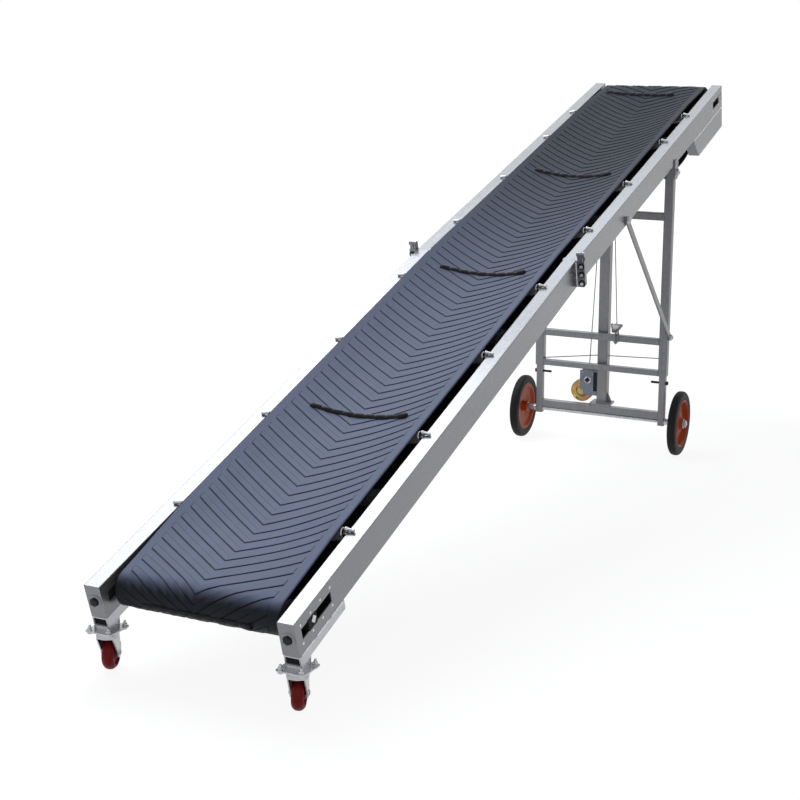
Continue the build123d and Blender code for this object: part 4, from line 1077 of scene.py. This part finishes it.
class CONVEYOR_OT_tyres(bpy.types.Operator):
    """Rear tyres: a ribbed tread and ringed walls turned about the axle, and rolled edges on each rim."""
    bl_idname = "conveyor.tyres"
    bl_label = "Tyres"

    def execute(self, context):
        tyre = turned(np.concatenate([TYRE_OUTLINE[::-1], TYRE_OUTLINE[1:] * (1, -1)]), 128, ring=True)
        rings = [turned(circle(1.0, 10) * half + middle, sides, ring=True)
                 for (half, middle), sides in ((RIM_LIP, 96), (RIM_RIDGE, 72))]
        for name, side in SIDES.items():
            body = f"rear_wheel_{name}"
            place = standing([JOINTS[body]["pos_m"]], (0, side, 0))
            piece = add_piece(f"tyre_{name}", scatter(tyre, place), "tyre", body, sharp=60.0)
            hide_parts(f"rear_tyre_{name}")
            fasten(f"rim_edges_{name}", join(*rings), place, ROW, "orange_rim", body)
        return {"FINISHED"}


PLATE_PITCH = (0.076, 0.060)
PLATE_T = 0.004
CASTER_AXLE_OUT = 0.024
CASTER_R, CASTER_HALF = 0.048, 0.017
CASTER_CROWN = 0.0095
BALL_RACE = ((0.0045, 0.0050), (0.0290, -0.0075))
# Caster wheel's side: radius, place from the middle plane
CASTER_SIDE = np.array([(0.0062, 0.0168), (0.0140, 0.0170), (0.0150, 0.0166), (0.0185, 0.0101),
                        (0.0330, 0.0100), (0.0362, 0.0158), (0.0372, 0.0166)])
# Tread's share of the half width, and the power with which its crown falls
TREAD_SHARE, CROWN_POWER = 0.985, 2.6


class CONVEYOR_OT_casters(bpy.types.Operator):
    """Casters: wheels turned with a crowned tread whose radius falls with a power of the place across,
    plate bolts with nuts, the bright ball race under the plate and the axle nuts."""
    bl_idname = "conveyor.casters"
    bl_label = "Caster trim"

    def execute(self, context):
        under = hex_head(0.013, 0.005, 0.009)
        race = turned(circle(1.0, 12) * BALL_RACE[0] + BALL_RACE[1], 48, ring=True)
        corners = np.array([(x, y, 0.0) for x in (-0.5, 0.5) for y in (-0.5, 0.5)]) * (*PLATE_PITCH, 0)
        across = np.linspace(CASTER_HALF * TREAD_SHARE, -CASTER_HALF * TREAD_SHARE, 25)
        crown = CASTER_CROWN * np.abs(across / CASTER_HALF) ** CROWN_POWER
        tread = np.stack([CASTER_R - crown, across], -1)
        wheel = turned(np.concatenate([CASTER_SIDE, tread, CASTER_SIDE[::-1] * (1, -1)]), 80, ring=True)
        for name in SIDES:
            swivel = f"caster_swivel_{name}"
            stem = np.array(JOINTS[swivel]["pos_m"])
            heads = scatter(nut_on_stud("plate"), standing(stem + corners + (0, 0, PLATE_T), (0, 0, 1)))
            nuts = scatter(under, standing(stem + corners, (0, 0, -1)))
            add_piece(f"plate_bolts_{name}", join(heads, nuts), "zinc", "tail_section")
            add_piece(f"swivel_race_{name}", (race[0] + stem, race[1]), "zinc", swivel)
            roll = JOINTS[f"caster_roll_{name}"]
            axle, axis = np.array(roll["pos_m"]), np.array(roll["axis"])
            ends = np.concatenate([standing([axle + k * CASTER_AXLE_OUT * axis], k * axis) for k in (-1, 1)])
            fasten(f"caster_nuts_{name}", nut_on_stud("caster"), ends, ROW, "roller_steel", swivel)
            tyre = scatter(wheel, standing([axle], axis))
            body = f"caster_wheel_{name}"
            piece = add_piece(f"caster_tread_{name}", tyre, "red_wheel", body, 50.0)
            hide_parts(f"caster_wheel_{name}")
        return {"FINISHED"}


# Section trim: places are along the section, across, and up from the rail tops

FLANGE_OUT = 0.340
FLANGE_T = 0.010
FLANGE_BOLTS = (-0.022, -0.055, -0.089)
SCREW_N = -0.050
TAKE_UP_S = -2.145
KEY_OUT, KEY_UP = 0.002, 0.004


class CONVEYOR_OT_section_bolts(bpy.types.Operator):
    """Fold bolts with their rings and nuts on the two flanges, black take-up screws with washers, and the
    square keys of the take-up blocks, all turned about their own axes."""
    bl_idname = "conveyor.section_bolts"
    bl_label = "Section bolts"

    def execute(self, context):
        heads, nuts = (both_sides(*[(way * FLANGE_T, FLANGE_OUT, n) for n in FLANGE_BOLTS], axis=(way, 0, 0))
                       for way in (-1, 1))
        ring = turned([(0.0128, 0), (0.0128, 0.0024), (0.0118, 0.0030)], 24)
        fasten("fold_bolt_rings", ring, heads, FOLD, "black_steel", "tail_section")
        fasten("fold_bolt_heads", hex_head(0.0125, 0.0085), heads, FOLD, "zinc", "tail_section")
        fasten("fold_bolt_nuts", nut_on_stud("fold"), nuts, FOLD, "zinc", "head_section")

        ends = both_sides((TAIL_END, (RAIL_IN + RAIL_OUT) / 2, SCREW_N), axis=(-1, 0, 0))
        washer = turned([(0.0205, 0), (0.0203, 0.0010), (0.0180, 0.0020)], 40)
        fasten("take_up_washers", washer, ends, TAIL, "rail_metal", "tail_section")
        key = turned([(0.0125, -0.001), (0.0125, 0.0012), (0.0090, 0.0024)], 4)
        faces = [both_sides((TAKE_UP_S, face + way * KEY_OUT, SCREW_N + KEY_UP), axis=(0, way, 0))
                 for face, way in ((RAIL_OUT, 1), (RAIL_IN, -1))]
        fasten("take_up_keys", key, np.concatenate(faces), TAIL, "weld_metal", "tail_section")
        fasten("take_up_heads", hex_head(0.0235, 0.0102), ends, TAIL, "black_steel", "tail_section")
        return {"FINISHED"}


SLOT = {"tail": (-2.207, -2.043), "head": (2.231, 2.067)}
SLOT_N = (-0.066, -0.034)
LOW_TUBE_END = -1.982
LOW_TUBE_IN, LOW_TUBE_H, LOW_TUBE_WALL = 0.002, 0.030, 0.004
RAIL_WALL = 0.004
# Black channel of painted shade inside each rail end: gap to the rail's wall, thickness, and reach past the slot
LINER_GAP, LINER_T = 0.0006, 0.0008
LINER_PAST = 0.009
PLUG_TIGHT = 0.0004
# Black plug of painted shade in a foot tube: depth in the tube, share of its outline
PLUG = np.array([(0.030, 1), (0.004, 1), (0.006, 0.9), (0.008, 0.5)])


class CONVEYOR_OT_liners(bpy.types.Operator):
    """Dark insides as painted shade: a thin black channel carried along each rail end behind its drum slot,
    and a dished black plug in the open end of each foot tube, whose outline shrinks as it goes in."""
    bl_idname = "conveyor.liners"
    bl_label = "Dark insides"

    def execute(self, context):
        wall = RAIL_WALL + LINER_GAP
        inn, out, low, high = RAIL_IN + wall, RAIL_OUT - wall, wall - RAIL_H, -wall
        channel = np.array([(out, low), (inn, low), (inn, high), (out, high),
                            (out, high - LINER_T), (inn + LINER_T, high - LINER_T),
                            (inn + LINER_T, low + LINER_T), (out, low + LINER_T)])
        for half, local in SECTION.items():
            end, inward = SLOT[half]
            back = LINER_PAST if end > inward else -LINER_PAST
            path = straight((end + back, 0, 0), (inward - 5 * back, 0, 0), 0.06)
            path = path[np.argsort(path[:, 0])]
            runs = [swept(path, channel * (-side, 1), (0, 0, 1)) for side in SIDES.values()]
            shade_liners = moved(join(*runs), local)
            # Black channels of painted shade inside the rail ends
            add_piece(f"rail_liners_{half}", shade_liners, "belt_lining", BODY[half])
        middle_t = (RAIL_IN + LOW_TUBE_IN + RAIL_OUT) / 2
        middle_n = -RAIL_H - LOW_TUBE_H / 2
        wall = LOW_TUBE_WALL - PLUG_TIGHT
        outline = squared(0.25, 32) * ((RAIL_OUT - RAIL_IN - LOW_TUBE_IN) / 2 - wall, LOW_TUBE_H / 2 - wall)
        depth, shares = PLUG.T[..., None, None]
        plugs = []
        for side in SIDES.values():
            face = (side * middle_t, middle_n) + shares * outline
            plugs.append(capped(np.concatenate([TAIL_END + depth + 0 * face[..., :1], face], -1)))
        # Black plugs of painted shade in the foot tubes
        add_piece("foot_tube_plugs", moved(join(*plugs), TAIL), "belt_lining", "tail_section")
        return {"FINISHED"}


BRACKET = (1.700, 2.245)
BRACKET_PLUGS = ((1.812, -0.188), (1.850, -0.192))
PLUG_OFF = 0.012
LEG_BEAD, FLANGE_BEAD = 0.75, 0.8
FOOT_U, FOOT_HALF = 0.052, 0.024
# Gaps between the ends of a bead and the corners of its joint
SHORT, SHORT_AT_BRACKET = 0.002, 0.004


class CONVEYOR_OT_welds(bpy.types.Operator):
    """Weld beads: stitches along the tail tubes, full beads along the head brackets and fold flanges, beads
    round the leg's joints, and the plug welds by the drum slots."""
    bl_idname = "conveyor.welds"
    bl_label = "Welds"

    def execute(self, context):
        trim = context.scene.conveyor_trim
        r, ripple = trim.bead_radius, trim.bead_ripple
        fore, across, up = (1, 0, 0), (0, 1, 0), (0, 0, 1)
        plug = dome(0.0042, 0.0016)
        seams = {"tail": both_welds(stitches, (TAIL_END + SHORT, RAIL_OUT, -RAIL_H),
                                    (LOW_TUBE_END, RAIL_OUT, -RAIL_H), r, ripple, up),
                 "head": both_welds(bead, (BRACKET[0] + SHORT_AT_BRACKET, RAIL_OUT, -RAIL_H),
                                    (BRACKET[1] - SHORT, RAIL_OUT, -RAIL_H), r, ripple, up)}
        rows = (SLOT_N[0] - PLUG_OFF, SLOT_N[1] + PLUG_OFF)
        for half, local in SECTION.items():
            dots = [(s, n) for s in np.linspace(*SLOT[half], 4) for n in rows]
            dots += BRACKET_PLUGS if half == "head" else ()
            plugs = scatter(plug, both_sides(*[(s, RAIL_OUT, n) for s, n in dots]))
            shape = moved(join(seams[half], plugs), local)
            add_piece(f"welds_{half}", shape, "weld_metal", BODY[half])

        for half, s in (("tail", -FLANGE_T), ("head", FLANGE_T)):
            ends = (s, RAIL_OUT, -0.004), (s, RAIL_OUT, -RAIL_H)
            run = both_welds(bead, *ends, FLANGE_BEAD * r, ripple, across)
            add_piece(f"flange_welds_{half}", moved(run, FOLD), "weld_metal", BODY[half])

        v0, v1 = BAR_FACES
        thin = LEG_BEAD * r
        upper = []
        for low, high in (MID_BAR, LOW_BAR, TOP_BAR):
            ends = (v0, POST_IN, low + SHORT), (v0, POST_IN, high - SHORT)
            upper.append(both_welds(bead, *ends, thin, ripple, fore))
            ends = (v0 + SHORT, POST_IN, high), (v1, POST_IN, high)
            upper.append(both_welds(bead, *ends, thin, ripple, up))
        v, t = POST_V - 0.015, POST_IN + 0.005
        front, rear = CENTRE_POST
        width = FOOT_HALF - SHORT
        ends = (front + SHORT, FOOT_HALF, FOOT_U), (rear - SHORT, FOOT_HALF, FOOT_U)
        lower = [both_welds(bead, (v, t, 0.011), (v, t, 0.042), thin, ripple, fore),
                 bead((front, -width, FOOT_U), (front, width, FOOT_U), r, ripple, up),
                 both_welds(bead, *ends, r, ripple, up)]
        add_piece("welds_upper_leg", moved(join(*upper), LEG), "leg_steel", "head_section")
        add_piece("welds_lower_leg", moved(join(*lower), LEG), "leg_steel", "lower_leg")
        return {"FINISHED"}


# Studio

FLOOR_HALF = 40.0
FLOOR_STEPS = 41
FLOOR_GLOW = 1.13
# Share of plain white in the floor: near the conveyor and far off, and the distances between which it grows
FLOOR_WHITE = (0.80, 1.0, 2.4, 6.0)
# Lamps by the property of their power: name, place, target, width, height, colour
LAMPS = {"key": ("overhead", (0.1, 1.9, 4.1), (-0.6, 0.3, 0.6), 3.6, 2.6, (0.95, 0.98, 1.0)),
         "far": ("far_overhead", (3.5, 1.0, 4.3), (1.2, 0.0, 1.2), 4.5, 0.9, (0.86, 0.93, 1.0)),
         "fill": ("loading_end", (-5.5, -2.5, 2.0), (-1.8, 0.0, 0.4), 1.6, 1.6, (1.0, 0.985, 0.96))}


def area_lamp(energy, name, place, target, width, height, tint):
    """Rectangular lamp turned to its target."""
    lamp = bpy.data.lights.new(name, "AREA")
    lamp.shape = "RECTANGLE"
    lamp.size, lamp.size_y = width, height
    lamp.energy = energy
    lamp.color = tint
    rig = bpy.data.objects.new(name, lamp)
    rig.location = place
    rig.rotation_euler = (Vector(target) - Vector(place)).to_track_quat("-Z", "Y").to_euler()
    bpy.context.scene.collection.objects.link(rig)


def seen_white(nodes, shade, white, part):
    """Mix of a shader and a white one, of which camera, glossy and transmission rays see the given part."""
    rays = nodes.add("ShaderNodeLightPath").outputs
    seen = nodes.math("MAXIMUM", rays["Is Camera Ray"], rays["Is Glossy Ray"])
    seen = nodes.math("MAXIMUM", seen, rays["Is Transmission Ray"])
    mix = nodes.add("ShaderNodeMixShader", {0: nodes.math("MULTIPLY", seen, part), 1: shade, 2: white})
    return mix.outputs["Shader"]


def floor_finish():
    """Pale floor that keeps a soft shadow near the conveyor and runs out to plain white."""
    material = bpy.data.materials.new("studio_floor")
    nodes = Nodes(material)
    place = nodes.add("ShaderNodeTexCoord").outputs["Object"]
    away = nodes.add("ShaderNodeVectorMath", {0: place}, operation="LENGTH").outputs["Value"]
    matt = nodes.add("ShaderNodeBsdfDiffuse", {"Color": (0.86, 0.86, 0.86)}).outputs["BSDF"]
    glow = nodes.add("ShaderNodeEmission", {"Strength": FLOOR_GLOW}).outputs["Emission"]
    surface = seen_white(nodes, matt, glow, nodes.spread(away, *FLOOR_WHITE))
    nodes.add("ShaderNodeOutputMaterial", {"Surface": surface})
    return material


class CONVEYOR_OT_stage(bpy.types.Operator):
    """White studio: a flat floor, an even sky, overhead and fill lamps, and the camera of the photograph."""
    bl_idname = "conveyor.stage"
    bl_label = "Stage"

    def execute(self, context):
        scene, st = context.scene, context.scene.conveyor_stage
        scene.view_settings.view_transform = "Standard"

        line = np.linspace(-FLOOR_HALF, FLOOR_HALF, FLOOR_STEPS)
        x, y = np.meshgrid(line, line, indexing="ij")
        verts, faces = grid(np.stack([x, y, 0 * x], -1))
        mesh = bpy.data.meshes.new("floor")
        mesh.from_pydata(verts.tolist(), [], faces[0].tolist())
        mesh.materials.append(floor_finish())
        floor = bpy.data.objects.new("floor", mesh)
        scene.collection.objects.link(floor)

        world = bpy.data.worlds.new("studio_sky")
        nodes = Nodes(world)
        sky, white = (nodes.add("ShaderNodeBackground", {"Color": tint, "Strength": strength})
                      for tint, strength in (((0.90, 0.94, 1.0), st.sky), ((1, 1, 1), 1.0)))
        surface = seen_white(nodes, sky.outputs["Background"], white.outputs["Background"], 1.0)
        nodes.add("ShaderNodeOutputWorld", {"Surface": surface})
        scene.world = world

        for power_of, lamp in LAMPS.items():
            area_lamp(getattr(st, power_of), *lamp)

        lens = bpy.data.cameras.new("camera")
        lens.lens = st.lens
        lens.sensor_fit = "HORIZONTAL"
        lens.clip_end = 200.0
        camera = bpy.data.objects.new("camera", lens)
        view = (Matrix.Rotation(st.heading - pi / 2, 4, "Z") @ Matrix.Rotation(pi / 2 + st.pitch, 4, "X")
                @ Matrix.Rotation(st.roll, 4, "Z"))
        camera.matrix_world = Matrix.Translation(st.eye) @ view
        scene.collection.objects.link(camera)
        scene.camera = camera
        return {"FINISHED"}


OPERATORS = (CONVEYOR_OT_finishes, CONVEYOR_OT_belt, CONVEYOR_OT_cleats, CONVEYOR_OT_idler_caps,
             CONVEYOR_OT_ropes, CONVEYOR_OT_rope_anchor, CONVEYOR_OT_leg_trim, CONVEYOR_OT_winch_trim,
             CONVEYOR_OT_tyres, CONVEYOR_OT_casters, CONVEYOR_OT_section_bolts, CONVEYOR_OT_liners,
             CONVEYOR_OT_welds, CONVEYOR_OT_stage)
GROUPS = {"conveyor_belt": ConveyorBeltSizes, "conveyor_trim": ConveyorTrimSizes,
          "conveyor_colours": ConveyorColours, "conveyor_stage": ConveyorStage}


class CONVEYOR_PT_panel(bpy.types.Panel):
    """Sidebar list of the sizes, colours and operators."""
    bl_label = "Belt conveyor"
    bl_idname = "CONVEYOR_PT_panel"
    bl_space_type = "VIEW_3D"
    bl_region_type = "UI"
    bl_category = "Conveyor"

    def draw(self, context):
        for operator in OPERATORS:
            self.layout.operator(operator.bl_idname)
        for group, kind in GROUPS.items():
            box = self.layout.box()
            for key in kind.__annotations__:
                box.prop(getattr(context.scene, group), key)


def register():
    for kind in (*GROUPS.values(), *OPERATORS, CONVEYOR_PT_panel):
        bpy.utils.register_class(kind)
    for group, kind in GROUPS.items():
        setattr(bpy.types.Scene, group, PointerProperty(type=kind))


def unregister():
    for group in GROUPS:
        delattr(bpy.types.Scene, group)
    for kind in reversed((*GROUPS.values(), *OPERATORS, CONVEYOR_PT_panel)):
        bpy.utils.unregister_class(kind)


def main():
    register()
    for operator in OPERATORS:
        family, name = operator.bl_idname.split(".")
        getattr(getattr(bpy.ops, family), name)()


if __name__ == "__main__":
    main()
